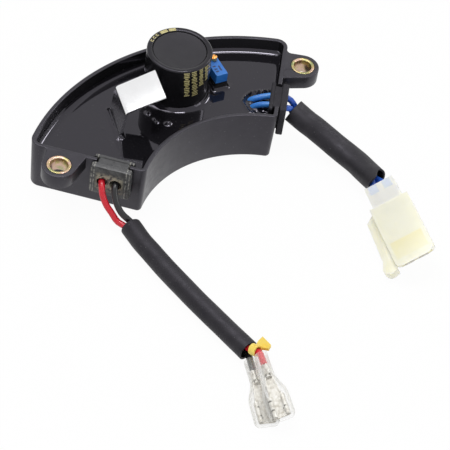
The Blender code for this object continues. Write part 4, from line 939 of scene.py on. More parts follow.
def make_grommet(side, word, mouths, looks):
    """A flanged grommet with softened edges and open mouths round its wires."""
    edge = GROMMET_EDGE

    def flange(out, inwards):
        return rounded_ring(out, GROMMET_HALF - inwards, GROMMET_BOTTOM + inwards,
                            GROMMET_TOP - inwards, 0.0012, side)

    face, back = GROMMET_FACE, GROMMET_BACK
    near, far = GROMMET_NECK
    low = GROMMET_BOTTOM + GROMMET_NECK_DROP
    high = GROMMET_TOP - 0.0003
    rings = [flange(face, edge), flange(face - edge * 0.3, edge * 0.3), flange(face - edge, 0)]
    rings += [flange(near + edge, 0), flange(near, edge)]
    rings += [rounded_ring(near, GROMMET_NECK_HALF, low, high, 0.001, side)]
    rings += [rounded_ring(far, GROMMET_NECK_HALF, low, high, 0.001, side)]
    rings += [flange(far, edge), flange(far - edge, 0), flange(back + edge, 0), flange(back, edge)]
    mesh = loft(word + "_gland", rings)
    steps = []
    for across, up, radius in mouths:
        profile = [
            (0, 0.002), (radius * 1.12, 0.002), (radius, -0.0004), (radius * 0.9, -0.0022), (0, -0.0022),
        ]
        place = Matrix.Translation((side * face, GROMMET_ALONG + across, up))
        place = place @ Matrix.Rotation(side * pi / 2, 4, "Y")
        steps.append(("DIFFERENCE", lathe("mouth", profile, 40), place))
    mesh = carved(mesh, *steps)
    mesh.transform(end_matrix(side))
    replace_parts(finish_piece(word + "_gland", mesh, looks, 38), word + "_grommet")


# Potting


def box_distance(x, y, half_x, half_y):
    """Signed distance to a rectangle about the origin."""
    dx = abs(x) - half_x
    dy = abs(y) - half_y
    return hypot(max(dx, 0), max(dy, 0)) + min(max(dx, dy), 0)


def outline_distance(point, outline):
    """Signed distance to a closed outline: negative inside."""
    inside = False
    nearest = 1.0
    for (ax, ay), (bx, by) in zip(outline, outline[1:] + outline[:1]):
        px, py = point[0] - ax, point[1] - ay
        ex, ey = bx - ax, by - ay
        part = max(0.0, min(1.0, (px * ex + py * ey) / (ex * ex + ey * ey)))
        nearest = min(nearest, hypot(px - ex * part, py - ey * part))
        if (ay > point[1]) != (by > point[1]) and point[0] < ax + (point[1] - ay) / (by - ay) * ex:
            inside = not inside
    return -nearest if inside else nearest


def climb(distance, height, reach):
    """How far resin creeps up at a distance from what it wets."""
    return height * exp(-max(distance, 0.0) / reach)


def in_frame(matrix, x, y):
    local = matrix @ Vector((x, y, 0))
    return local.x, local.y


def resin_height(x, y, wall_distance, frames):
    """The potting's surface: level, with menisci, the wire pit and a few dropped lumps."""
    height = climb(wall_distance, *WALL_CLIMB)
    reach = hypot(x - CAPACITOR_CENTRE[0], y - CAPACITOR_CENTRE[1]) - CAPACITOR_RADIUS
    height = max(height, climb(reach, 0.0016, 0.0007))
    local = in_frame(frames["trimmer"], x, y)
    gap = box_distance(*local, TRIMMER_SIZE[0] / 2, TRIMMER_SIZE[1] / 2)
    height = max(height, climb(gap, 0.0022, 0.0006))
    local = in_frame(frames["plate"], x, y)
    height = max(height, climb(box_distance(*local, PLATE_THICKNESS / 2, PLATE_WIDTH / 2), 0.0011, 0.0005))
    for side in (-1, 1):
        local = in_frame(frames[side], x, y)
        centre = side * (GROMMET_NECK[1] + GROMMET_BACK) / 2
        half = abs(GROMMET_NECK[1] - GROMMET_BACK) / 2
        gap = box_distance(local[0] - centre, local[1] - GROMMET_ALONG, half, GROMMET_HALF)
        height = max(height, climb(gap, 0.0020 if side < 0 else 0.0008, 0.0006))
    local = in_frame(frames[1], x, y)
    pit = outline_distance(local, list(PIT_OUTLINE))
    if pit < 0.0015:
        depth = min(1.0, max(0.0, -pit / 0.0012))
        rough = noise.noise(Vector((x, y, 0)) * 520) * 0.00045
        rough += noise.noise(Vector((x, y, 0.1)) * 1100) * 0.0002
        lip = 0.00035 * exp(-(pit / 0.00035) ** 2)
        height = height * (1 - depth) + lip + depth * (rough - PIT_DEPTH)
    for lump_x, lump_y, width, rise in LUMPS:
        away = hypot(x - lump_x, y - lump_y)
        wobble = 1 + 0.35 * noise.noise(Vector((x, y, lump_x)) * 900)
        height += rise * exp(-(away / width) ** 2 * 1.2) * wobble
    return RESIN_TOP + height


def eased(part):
    """Packs samples of 0 to 1 towards both ends."""
    return 0.45 * part + 0.55 * (1 - cos(pi * part)) / 2


def make_resin(looks):
    rows, columns = 120, 260
    near = INNER_RADIUS + WALL + draft_inset(RESIN_TOP) + 0.0001
    far = OUTER_RADIUS - WALL - draft_inset(RESIN_TOP) - 0.0001
    side_gap = WALL + draft_inset(RESIN_TOP) + 0.0001
    frames = {
        "trimmer": trimmer_matrix().inverted(),
        "plate": (Matrix.Translation((*PLATE_FOOT, 0)) @ Matrix.Rotation(-PLATE_TURN, 4, "Z")).inverted(),
        -1: end_matrix(-1).inverted(),
        1: end_matrix(1).inverted(),
    }
    verts = []
    for row in range(rows + 1):
        radius = near + (far - near) * eased(row / rows)
        widest = END_ANGLE - asin(side_gap / radius)
        for column in range(columns + 1):
            angle = widest * (2 * eased(column / columns) - 1)
            to_end = radius * sin(END_ANGLE - abs(angle)) - side_gap
            corner = hypot(*(max(0.0, 0.0027 - gap) for gap in (far - radius, to_end)))
            wall = min(radius - near, far - radius, to_end, max(0.0, 0.0027 - corner))
            x, y = radius * sin(angle), radius * cos(angle) + ARC_CENTRE_Y
            verts.append((x, y, resin_height(x, y, wall, frames)))
    faces = []
    wide = columns + 1
    for row in range(rows):
        for column in range(columns):
            a = row * wide + column
            faces.append((a, a + 1, a + wide + 1, a + wide))
    border = list(range(columns + 1))
    border += [row * wide + columns for row in range(1, rows + 1)]
    border += [rows * wide + column for column in range(columns - 1, -1, -1)]
    border += [row * wide for row in range(rows - 1, 0, -1)]
    base = len(verts)
    verts += [(verts[n][0], verts[n][1], RESIN_BOTTOM) for n in border]
    for n in range(len(border)):
        after = (n + 1) % len(border)
        faces.append((border[n], border[after], base + after, base + n))
    faces.append(tuple(base + n for n in range(len(border))))
    mesh = mesh_of("potting", verts, faces)
    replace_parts(finish_piece("potting", mesh, looks["resin"], 50), "potting_resin")


# Capacitor


def make_capacitor(looks):
    spot = Matrix.Translation((*CAPACITOR_CENTRE, 0))
    outer, top, crown = CAPACITOR_RADIUS, CAPACITOR_TOP, CAPACITOR_CROWN
    rim = outer - CAPACITOR_RIM
    profile = [(rim - 0.0001, top - 0.0007), (rim, top - 0.00025), (rim + 0.00025, top)]
    profile += arc((outer - crown, top - crown), crown, pi / 2, 0, 8)
    heights = [top - crown - 0.0004 * n for n in range(1, 12)]
    profile += [(outer - 0.00004, z) for z in heights]
    profile += [(outer, 0.028), (outer, 0.022), (outer, 0.016), (outer, 0.0105), (rim - 0.0001, 0.0105)]
    film = lathe("capacitor_film", profile, 144, closed=True)
    for vertex in film.vertices:
        if 0.0290 < vertex.co.z < top - crown:
            turn = atan2(vertex.co.y, vertex.co.x)
            near_rim = (vertex.co.z - 0.0290) / (top - crown - 0.0290)
            pleat = noise.noise(Vector((cos(turn) * 3, sin(turn) * 3, vertex.co.z * 160)))
            shift = 0.00016 * near_rim * (pleat - 0.4)
            vertex.co.x += cos(turn) * shift
            vertex.co.y += sin(turn) * shift
    film.transform(spot)
    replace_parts(finish_piece("capacitor_film", film, looks["film"], 50), "capacitor_sleeve")
    disc_profile = [(0, CAPACITOR_DISC), (rim * 0.93, CAPACITOR_DISC), (rim * 0.965, CAPACITOR_DISC + 0.0001)]
    low = CAPACITOR_DISC_BOTTOM
    disc_profile += [(rim - 0.00015, CAPACITOR_DISC - 0.0001), (rim - 0.00015, low), (0, low)]
    disc = lathe("capacitor_lid", disc_profile, 96)
    disc.transform(spot)
    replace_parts(finish_piece("capacitor_lid", disc, looks["disc"], 30), "capacitor_disc")
    make_ink(looks["ink"])


def wall_patch(angle, low, high, width, radius):
    """A thin curved patch on the capacitor's side, as verts and faces."""
    verts = []
    steps = 4
    for depth in (-0.00008, 0.00003):
        for n in range(steps + 1):
            a = angle + width / radius * (n / steps - 0.5)
            for z in (low, high):
                verts.append(((radius + depth) * cos(a), (radius + depth) * sin(a), z))
    count = 2 * (steps + 1)
    faces = []
    for n in range(steps):
        a = 2 * n
        faces.append((a, a + 1, a + 3, a + 2))
        faces.append((count + a, count + a + 2, count + a + 3, count + a + 1))
        faces.append((a, a + 2, count + a + 2, count + a))
        faces.append((a + 1, count + a + 1, count + a + 3, a + 3))
    faces.append((0, count, count + 1, 1))
    last = 2 * steps
    faces.append((last, last + 1, count + last + 1, count + last))
    return verts, faces


def ring_patch(angle, inner, outer, width):
    """A thin flat patch on the capacitor's top ring."""
    verts = []
    for z in (CAPACITOR_TOP - 0.00006, CAPACITOR_TOP - 0.000001 + 0.00001):
        for radius in (inner, outer):
            for sense in (-1, 1):
                a = angle + sense * width / radius / 2
                verts.append((radius * cos(a), radius * sin(a), z))
    faces = [(0, 1, 3, 2), (4, 6, 7, 5), (0, 4, 5, 1), (2, 3, 7, 6), (0, 2, 6, 4), (1, 5, 7, 3)]
    return verts, faces


def make_ink(looks):
    """Plain bars where the capacitor carries print."""
    patches = []
    for (top_angle, top, top_width), (low_angle, low, low_width), count, stroke in INK_COLUMNS:
        pitch = (top - low) / count
        for n in range(count):
            part = (n + 0.5) / count
            angle = radians(top_angle + (low_angle - top_angle) * part)
            width = (top_width + (low_width - top_width) * part) * INK_LENGTHS[n % len(INK_LENGTHS)]
            high = top - pitch * n
            patches.append(wall_patch(angle, high - stroke, high, width, CAPACITOR_RADIUS))
    for degrees, width in INK_BLOCKS:
        for inner, outer in ((0.01035, 0.01095), (0.01100, 0.01175)):
            patches.append(ring_patch(radians(degrees), inner, outer, width))
    for degrees in (107.0, 116.0, 126.0):
        for inner in (0.01055, 0.01135):
            patches.append(ring_patch(radians(degrees), inner, inner + 0.0003, 0.0011))
        patches.append(ring_patch(radians(degrees + 2.4), 0.01085, 0.01135, 0.0003))
    verts, faces = [], []
    for patch_verts, patch_faces in patches:
        start = len(verts)
        verts += patch_verts
        faces += [tuple(start + n for n in face) for face in patch_faces]
    mesh = mesh_of("capacitor_bars", verts, faces)
    mesh.transform(Matrix.Translation((*CAPACITOR_CENTRE, 0)))
    finish_piece("capacitor_bars", mesh, looks)


# Trimmer


def trimmer_matrix():
    return Matrix.Translation((*TRIMMER_CENTRE, 0)) @ Matrix.Rotation(TRIMMER_TURN, 4, "Z")


def rectangle(half_x, half_y):
    return [(-half_x, -half_y), (half_x, -half_y), (half_x, half_y), (-half_x, half_y)]


def make_trimmer(looks):
    width, length = TRIMMER_SIZE
    frame_matrix = trimmer_matrix()
    bottom = 0.0133
    height = TRIMMER_TOP - bottom
    body = rounded_prism("trimmer_case", [rectangle(width / 2, length / 2)], height, 0.00018)
    body.transform(frame_matrix @ Matrix.Translation((0, 0, bottom + height / 2)))
    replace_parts(finish_piece("trimmer_case", body, looks["blue_case"], 30), "trimmer_body")
    coat = []
    for rise, swell in TRIMMER_COAT:
        z = TRIMMER_COAT_TOP - rise
        ring = []
        corner = COAT_CORNER + swell
        x, y = width / 2 - COAT_CORNER, length / 2 - COAT_CORNER
        for turn, x, y in ((0, x, y), (pi / 2, -x, y), (pi, -x, -y), (3 * pi / 2, x, -y)):
            for px, py in arc((x, y), corner, turn, turn + pi / 2, 5):
                dip = 0.0005 * noise.noise(Vector((px, py, 0)) * 420)
                ring.append(frame_matrix @ Vector((px, py, z + (dip if rise < 0.001 else 0))))
        coat.append(ring)
    finish_piece("trimmer_coat", loft("trimmer_coat", coat), looks["goo"], 60)
    verts, faces = [], []
    for low, high in (((-0.0016, -0.0030), (-0.0004, -0.0022)), ((-0.0016, -0.0016), (-0.0004, -0.0009)),
                      ((-0.0016, 0.0000), (-0.0004, 0.0006)), ((0.0004, -0.0026), (0.0011, 0.0002))):
        start = len(verts)
        for z in (TRIMMER_TOP - 0.00005, TRIMMER_TOP + 0.00002):
            verts += [(low[0], low[1], z), (high[0], low[1], z), (high[0], high[1], z), (low[0], high[1], z)]
        faces += [tuple(start + n for n in face) for face in
                  ((0, 1, 2, 3), (4, 7, 6, 5), (0, 4, 5, 1), (1, 5, 6, 2), (2, 6, 7, 3), (3, 7, 4, 0))]
    marks = mesh_of("trimmer_bars", verts, faces)
    marks.transform(frame_matrix)
    finish_piece("trimmer_bars", marks, looks["dark_print"])


def make_screw(looks):
    spot = trimmer_matrix() @ Matrix.Translation((*SCREW_OFFSET, 0))
    outer, top, bottom = SCREW_HEAD_RADIUS, SCREW_HEAD_TOP, SCREW_HEAD_BOTTOM
    edge = 0.0002
    profile = [(0, top)]
    profile += arc((outer - edge, top - edge), edge, pi / 2, 0, 4)
    profile += [(outer, bottom), (0.0007, bottom), (0.0007, 0.0196), (0, 0.0196)]
    breadth, depth = SCREW_SLOT
    slot = box_mesh("slot", (-0.002, -breadth / 2, top - depth), (0.002, breadth / 2, top + 0.001))
    mesh = carved(lathe("adjusting_screw", profile, 48),
                  ("DIFFERENCE", slot, Matrix.Rotation(SCREW_SLOT_TURN, 4, "Z")))
    mesh.transform(spot)
    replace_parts(finish_piece("adjusting_screw", mesh, looks["brass"], 35, SCREW_BODY), "trimmer_screw")


# Heat plate


def make_plate(looks):
    half = PLATE_THICKNESS / 2
    leg = pi / 2 - PLATE_LEAN
    bend = PLATE_BEND_RADIUS
    corner_x = (PLATE_BEND_HEIGHT - RESIN_TOP) / sin(leg) * cos(leg)
    setback = bend / cos((leg - PLATE_SHELF_RISE) / 2) * sin((leg - PLATE_SHELF_RISE) / 2)
    start = (corner_x - setback * cos(leg), PLATE_BEND_HEIGHT - setback * sin(leg))
    middle = (start[0] + bend * sin(leg), start[1] - bend * cos(leg))
    low = (start[0] - (start[1] - PLATE_START) / sin(leg) * cos(leg), PLATE_START)
    end = (
        corner_x + PLATE_SHELF * cos(PLATE_SHELF_RISE),
        PLATE_BEND_HEIGHT + PLATE_SHELF * sin(PLATE_SHELF_RISE),
    )
    first = leg + pi / 2
    last = PLATE_SHELF_RISE + pi / 2
    outline = [(low[0] + half * cos(first), low[1] + half * sin(first))]
    outline += arc(middle, bend + half, first, last, 14)
    outline.append((end[0] + half * cos(last), end[1] + half * sin(last)))
    outline.append((end[0] - half * cos(last), end[1] - half * sin(last)))
    outline += arc(middle, bend - half, last, first, 14)
    outline.append((low[0] - half * cos(first), low[1] - half * sin(first)))
    mesh = rounded_prism("heat_plate", [outline], PLATE_WIDTH, 0.00014)
    upright = Matrix.Rotation(pi / 2, 4, "X")
    mesh.transform(Matrix.Translation((*PLATE_FOOT, 0)) @ Matrix.Rotation(-PLATE_TURN, 4, "Z") @ upright)
    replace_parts(finish_piece("heat_plate", mesh, looks["plate"], 40), "heat_sink_tab")


# Wires and tubes


def smooth_route(points, spacing=STEP):
    """Points about a spacing apart on a smooth curve through the route's own points."""
    route = [Vector(point) for point in points]
    route = [2 * route[0] - route[1], *route, 2 * route[-1] - route[-2]]
    fine = []
    for a, b, c, d in zip(route, route[1:], route[2:], route[3:]):
        for n in range(24):
            t = n / 24
            square = 2 * a - 5 * b + 4 * c - d
            cube = 3 * b - a - 3 * c + d
            fine.append((2 * b + (c - a) * t + square * t * t + cube * t ** 3) / 2)
    fine.append(route[-2])
    reached = [0.0]
    for near, far in zip(fine, fine[1:]):
        reached.append(reached[-1] + (far - near).length)
    count = max(2, round(reached[-1] / spacing))
    even = []
    at = 0
    for n in range(count + 1):
        wanted = reached[-1] * n / count
        while at < len(fine) - 2 and reached[at + 1] < wanted:
            at += 1
        part = (wanted - reached[at]) / (reached[at + 1] - reached[at])
        even.append(fine[at].lerp(fine[at + 1], part))
    return even


def cross_frames(points):
    frames = []
    for n, point in enumerate(points):
        ahead = points[min(n + 1, len(points) - 1)] - points[max(n - 1, 0)]
        ahead.normalize()
        side = ahead.cross(Vector((0, 0, 1))).normalized()
        frames.append((point, side, side.cross(ahead)))
    return frames


def pair_in_tube(route, twist, sense):
    """The middle line of one of two wires that lie side by side in a tube."""
    points = smooth_route(route, 0.006)
    line = []
    for n, (point, side, above) in enumerate(cross_frames(points)):
        angle = twist[0] + (twist[1] - twist[0]) * n / (len(points) - 1)
        reach = sense * WIRE_SPREAD / 2
        line.append(point + side * (reach * cos(angle)) + above * (reach * sin(angle)))
    return line


def lying_matrix(start, heading, dip, roll):
    """A frame with -Y along a heading from world -Y towards -X, +X rolled upwards."""
    turn_down = Matrix.Rotation(-heading, 4, "Z") @ Matrix.Rotation(dip, 4, "X")
    return Matrix.Translation(start) @ turn_down @ Matrix.Rotation(-roll, 4, "Y")


def wire_piece(name, points, looks):
    """A round insulated wire along points."""
    curve = bpy.data.curves.new(name, "CURVE")
    curve.dimensions = "3D"
    curve.bevel_depth = WIRE_RADIUS
    curve.bevel_resolution = 7
    curve.use_fill_caps = True
    spline = curve.splines.new("POLY")
    spline.points.add(len(points) - 1)
    spline.use_smooth = True
    for point, co in zip(spline.points, points):
        point.co = (*co, 1.0)
    return finish_piece(name, curve, looks)


def make_tube(name, node, route, size, looks, slant=None, early=0.0):
    """A soft sleeve, slightly uneven, open at both ends. Its far end may be cut askew."""
    first = Vector(route[0])
    first += (first - Vector(route[1])).normalized() * early
    frames = cross_frames(smooth_route([first, *route[1:]]))
    outside, inside = [], []
    for n, (point, side, above) in enumerate(frames):
        outer_ring, inner_ring = [], []
        for step in range(40):
            angle = 2 * pi * step / 40
            turn = side * cos(angle) + above * sin(angle)
            dent = 0.00009 * noise.noise(point * 130 + turn * 1.3)
            width = hypot(size[0] / 2 * cos(angle), size[1] / 2 * sin(angle)) + dent - 0.00006
            shift = Vector((0, 0, 0))
            if slant and n >= len(frames) - slant["rows"]:
                ahead = (frames[-1][0] - frames[-2][0]).normalized()
                grown = 1 - (len(frames) - 1 - n) / slant["rows"]
                facing = max(0.0, cos(angle - slant["turn"]))
                shift = ahead * (slant["reach"] * grown * facing ** 1.3)
            outer_ring.append(point + turn * width + shift)
            inner_ring.append(point + turn * (width - TUBE_WALL) + shift)
        outside.append(outer_ring)
        inside.append(inner_ring)
    made = finish_piece(name, loft(name, outside + inside[::-1], closed=True), looks, 60)
    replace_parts(made, node)
    return made


# Plug covers and plugs


def stadium(width, height, y, steps=48):
    radius = height / 2
    shift = (width - height) / 2
    right = arc((shift, 0), radius, -pi / 2, pi / 2, steps // 2 - 1)
    left = arc((-shift, 0), radius, pi / 2, 3 * pi / 2, steps // 2 - 1)
    return [Vector((x, y, z)) for x, z in right + left]


def rounded_end(point, width):
    """Draws a cover's mouth back towards its sides, so that its corners are round in plan."""
    past = abs(point.x) - (width / 2 - MOUTH_CORNER)
    if past > 0:
        ramp = max(0.0, 1 - (COVER_LENGTH + point.y) / MOUTH_CORNER / 2.5)
        point.y += (MOUTH_CORNER - sqrt(max(0.0, MOUTH_CORNER ** 2 - past ** 2))) * ramp
    return point


def make_cover(name, node, frame_matrix, looks):
    """A soft clear cover: a round barrel that flares into a flat mouth, open at both ends."""
    stations = []
    for n in range(10):
        stations.append((COVER_FLARE_START * n / 9, 0.0))
    for n in range(1, 17):
        part = n / 16
        stations.append((COVER_FLARE_START + COVER_FLARE * part, part * part * (3 - 2 * part)))
    rest = COVER_LENGTH - COVER_FLARE_START - COVER_FLARE
    for n in range(1, 9):
        stations.append((COVER_FLARE_START + COVER_FLARE + rest * n / 8, 1.0))
    outside, inside = [], []
    for along, part in stations:
        width = COVER_BARREL[0] + (COVER_MOUTH[0] - COVER_BARREL[0]) * part
        height = COVER_BARREL[1] + (COVER_MOUTH[1] - COVER_BARREL[1]) * part
        lip = COVER_WALL
        outside.append([rounded_end(point, width) for point in stadium(width, height, -along)])
        around = stadium(width - 2 * lip, height - 2 * lip, -along)
        inside.append([rounded_end(point, width) for point in around])
    mesh = loft(name, outside + inside[::-1], closed=True)
    for vertex in mesh.vertices:
        wave = noise.noise(vertex.co * 260) * 0.00006
        vertex.co.x += wave
        vertex.co.z += wave
    mesh.transform(frame_matrix)
    made = finish_piece(name, mesh, looks, 50)
    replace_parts(made, node)
    return made


def folded(name, count, rows, place):
    """Bent sheet metal: a strip of two layers that place(step, layer, row) sets out."""
    rings = []
    for n in range(count):
        rings.append([place(n, 0, y) for y in rows] + [place(n, 1, y) for y in reversed(rows)])
    return loft(name, rings)


def joined(name, meshes):
    bm = bmesh.new()
    for mesh in meshes:
        bm.from_mesh(mesh)
    result = bpy.data.meshes.new(name)
    bm.to_mesh(result)
    bm.free()
    return result


def make_plug(name, node, frame_matrix, looks):
    """A flat push-on plug: wings crimped on bare strands, a channelled neck and rolled edges."""
    width, height, length = PLUG_RECEPTACLE
    sheet, curl = PLUG_SHEET, height / 2
    edge, base = width / 2 - curl, -height / 2
    mouth = -COVER_LENGTH + PLUG_END_GAP
    back = mouth + length
    layers = []
    for radius in (curl, curl - sheet):
        right = arc((edge, base + curl), radius, -pi / 2, pi * 0.75, 12)
        layers.append([(-x, z) for x, z in reversed(right)] + right)

    def rolled(n, layer, y):
        x, z = layers[layer][n]
        return Vector((x, y, z))

    rows = [mouth + length * n / 8 for n in range(9)]
    parts = [folded("rolled", len(layers[0]), rows, rolled)]
    start, end = (-reach for reach in PLUG_CRIMP)
    narrow, broad, rise = PLUG_NECK

    def channel(n, layer, y):
        half = narrow + (broad - narrow) * min(1.0, max(0.0, (end - y) / (end - back)) ** 1.4)
        thin = sheet * layer
        x = (-half + thin, -half + thin, half - thin, half - thin)[n]
        high = base + rise * (1.3 - 0.5 * (end - y) / (end - back))
        return Vector((x, y, (high, base + thin, base + thin, high)[n]))

    rows = [end + 0.0003 + (back - sheet - end) * n / 10 for n in range(11)]
    parts.append(folded("channel", 4, rows, channel))
    inner = WIRE_RADIUS + 0.00012
    wraps = [
        arc((0, 0), inner + PLUG_CRIMP_SHEET * (1 - layer), radians(102), radians(438), 28)
        for layer in (0, 1)
    ]

    def crimped(n, layer, y):
        x, z = wraps[layer][n]
        squeeze = 1 - 0.10 * sin(pi * (y - end) / (start - end))
        return Vector((x * squeeze, y, z * squeeze))

    rows = [start + (end - start) * n / 10 for n in range(11)]
    parts.append(folded("crimped", len(wraps[0]), rows, crimped))
    strands = [[Vector((0.0009 * cos(a), y, 0.0009 * sin(a) - 0.0001)) for a in
                [2 * pi * n / 24 for n in range(24)]] for y in (-WIRE_IN_COVER, start, end, end - 0.0008)]
    parts.append(loft("strands", strands))
    mesh = joined(name, parts)
    mesh.transform(frame_matrix)
    made = finish_piece(name, mesh, looks, 40)
    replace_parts(made, node)
    return made


def make_marker(begin, towards, looks):
    """A folded tag: its sheet loops round the wire and both ends lie together as a creased flag."""
    ahead = (towards - begin).normalized()
    side = ahead.cross(Vector((0, 0, 1))).normalized()
    frame_matrix = Matrix((-side, -ahead, side.cross(ahead))).transposed().to_4x4()
    frame_matrix.translation = begin

    def sheet_side(radius, half):
        start = sqrt(radius ** 2 - half ** 2)
        flat = [(start + (MARKER_FLAG[0] - start) * n / 14, half) for n in range(14, 0, -1)]
        turn = atan2(half, start)
        return flat + arc((0, 0), radius, turn, 2 * pi - turn, 30) + [(x, -z) for x, z in reversed(flat)]

    rings = []
    rows = [-MARKER_START - MARKER_LENGTH * n / 8 for n in range(9)]
    outers = sheet_side(MARKER_RADIUS, MARKER_FLAG[1] / 2)
    inners = sheet_side(MARKER_BORE, MARKER_SLIT / 2)
    for outer, inner in zip(outers, inners):
        ring = [(outer, y) for y in rows] + [(inner, y) for y in reversed(rows)]
        rings.append([marker_point(*point, y) for point, y in ring])
    mesh = loft("folded_tag", rings)
    mesh.transform(frame_matrix @ Matrix.Translation((MARKER_SHIFT[0], 0, MARKER_SHIFT[1]))
                   @ Matrix.Rotation(-MARKER_FLAG_RISE, 4, "Y"))
    made = finish_piece("folded_tag", mesh, looks, 50)
    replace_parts(made, "wire_marker")
    return made


def marker_point(x, z, y):
    """A point of the tag: the flag widens to its near corners, then runs out to its far ones."""
    start = sqrt(MARKER_RADIUS ** 2 - (MARKER_FLAG[1] / 2) ** 2)
    part = (x - start) / (MARKER_FLAG[0] - start)
    if part <= 0:
        return Vector((x, y, z))
    down = (-MARKER_START - y) / MARKER_LENGTH
    near, far = (Vector(pair[0]).lerp(Vector(pair[1]), down) for pair in (MARKER_NEAR, MARKER_FAR))
    if part < MARKER_NECK:
        place = Vector((start, y)).lerp(near, part / MARKER_NECK)
    else:
        place = near.lerp(far, (part - MARKER_NECK) / (1 - MARKER_NECK))
    kink = MARKER_CREASE[1] * max(0.0, 1 - abs(part - MARKER_CREASE[0]) / 0.3)
    return Vector((*place, z * (1 - 0.1 * part) + kink))


def shell_place(x, y, z):
    """The connector's place of a point: the mouth slants back below and the latch lies closer."""
    length = CONNECTOR_FACE[1]
    if x > -LATCH_INNER / 2:
        ramp = min(1.0, max(0.0, (-y - WINDOW_START) / (length - WINDOW_START)))
        return x, y + MOUTH_SLANT * ramp * (CONNECTOR_HEIGHT - z), z
    if x > -LATCH_INNER * 1.3:
        return x + LATCH_INNER * 0.96, y, z
    return x, y, z


def softened(name, node, edge, looks, matrix=None, place=None):
    """A node's shape with its sharp edges rounded and, if asked, its points moved in a frame."""
    bm = bmesh.new()
    bm.from_mesh(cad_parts[node].data)
    bmesh.ops.remove_doubles(bm, verts=bm.verts, dist=1e-6)
    bmesh.ops.dissolve_limit(bm, angle_limit=radians(0.5), verts=bm.verts, edges=bm.edges)
    sharp = [e for e in bm.edges if len(e.link_faces) == 2 and e.calc_face_angle(0) > radians(40)]
    bmesh.ops.bevel(bm, geom=sharp, offset=edge, offset_type="OFFSET", segments=2, profile=0.5,
                    affect="EDGES", clamp_overlap=True)
    if place is not None:
        back = matrix.inverted()
        for vertex in bm.verts:
            vertex.co = matrix @ Vector(place(*(back @ vertex.co)))
    mesh = bpy.data.meshes.new(name)
    bm.to_mesh(mesh)
    bm.free()
    made = finish_piece(name, mesh, looks, 40)
    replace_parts(made, node)
    return made


# Stage


def make_camera():
    across = Vector((cos(CAMERA_AZIMUTH), -sin(CAMERA_AZIMUTH), 0))
    ahead = Vector((
        sin(CAMERA_AZIMUTH) * cos(CAMERA_DOWN), cos(CAMERA_AZIMUTH) * cos(CAMERA_DOWN), -sin(CAMERA_DOWN)
    ))
    above = across.cross(ahead)
    matrix = Matrix((across, above, -ahead)).transposed() @ Matrix.Rotation(CAMERA_ROLL, 3, "Z")
    data = bpy.data.cameras.new("camera")
    data.lens = CAMERA_LENS
    data.sensor_width = 36.0
    data.clip_start = 0.01
    made = bpy.data.objects.new("camera", data)
    made.matrix_world = Matrix.Translation(CAMERA_PLACE) @ matrix.to_4x4()
    bpy.context.scene.collection.objects.link(made)
    bpy.context.scene.camera = made


def shown_white(tree, seen, plain):
    """Shows one shader to the camera and in gloss, and the other to diffuse light."""
    path = tree.nodes.new("ShaderNodeLightPath")
    either = tree.nodes.new("ShaderNodeMath")
    either.operation = "MAXIMUM"
    tree.links.new(path.outputs["Is Camera Ray"], either.inputs[0])
    tree.links.new(path.outputs["Is Glossy Ray"], either.inputs[1])
    whole = tree.nodes.new("ShaderNodeMath")
    whole.operation = "MAXIMUM"
    tree.links.new(either.outputs[0], whole.inputs[0])
    tree.links.new(path.outputs["Is Transmission Ray"], whole.inputs[1])
    mix = tree.nodes.new("ShaderNodeMixShader")
    tree.links.new(whole.outputs[0], mix.inputs[0])
    tree.links.new(plain, mix.inputs[1])
    tree.links.new(seen, mix.inputs[2])
    return mix.outputs[0]


def make_floor():
    looks = bpy.data.materials.new("floor")
    looks.use_nodes = True
    tree = looks.node_tree
    shader = shader_of(looks)
    shader.inputs["Base Color"].default_value = (*STAGE_WHITE, 1.0)
    shader.inputs["Roughness"].default_value = 0.6
    glow = tree.nodes.new("ShaderNodeEmission")
    glow.inputs["Strength"].default_value = 1.0
    lift = tree.nodes.new("ShaderNodeMixShader")
    lift.inputs[0].default_value = FLOOR_LIFT
    tree.links.new(shader.outputs[0], lift.inputs[1])
    tree.links.new(glow.outputs[0], lift.inputs[2])
    output = tree.nodes["Material Output"]
    tree.links.new(shown_white(tree, lift.outputs[0], shader.outputs[0]), output.inputs["Surface"])
    mesh = mesh_of("floor", [(-2, -2, 0), (2, -2, 0), (2, 2, 0), (-2, 2, 0)], [(0, 1, 2, 3)])
    mesh.materials.append(looks)
    made = bpy.data.objects.new("floor", mesh)
    made.location = (0, 0, -0.00002)
    bpy.context.scene.collection.objects.link(made)


def make_world():
    """White to the eye, brighter from above than from the sides as light."""
    world = bpy.data.worlds.new("world")
    bpy.context.scene.world = world
    world.use_nodes = True
    tree = world.node_tree
    plain = tree.nodes["Background"]
    where = tree.nodes.new("ShaderNodeTexCoord")
    split = tree.nodes.new("ShaderNodeSeparateXYZ")
    tree.links.new(where.outputs["Generated"], split.inputs[0])
    level = tree.nodes.new("ShaderNodeMapRange")
    for socket, value in (("From Min", -0.1), ("From Max", 0.9), ("To Min", 0.32), ("To Max", 0.62)):
        level.inputs[socket].default_value = value
    tree.links.new(split.outputs["Z"], level.inputs["Value"])
    tree.links.new(level.outputs["Result"], plain.inputs["Strength"])
    plain.inputs["Color"].default_value = (1, 1, 1, 1)
    seen = tree.nodes.new("ShaderNodeBackground")
    seen.inputs["Color"].default_value = (1, 1, 1, 1)
    seen.inputs["Strength"].default_value = 1.0
    shown = shown_white(tree, seen.outputs[0], plain.outputs[0])
    tree.links.new(shown, tree.nodes["World Output"].inputs["Surface"])


def make_lamp(name, place, target, size, power, gloss_only):
    data = bpy.data.lights.new(name, "AREA")
    data.shape = "RECTANGLE"
    data.size, data.size_y = size
    data.energy = power
    made = bpy.data.objects.new(name, data)
    place = Vector(place)
    made.location = place
    made.rotation_euler = (Vector(target) - place).to_track_quat("-Z", "Y").to_euler()
    made.visible_diffuse = not gloss_only
    bpy.context.scene.collection.objects.link(made)


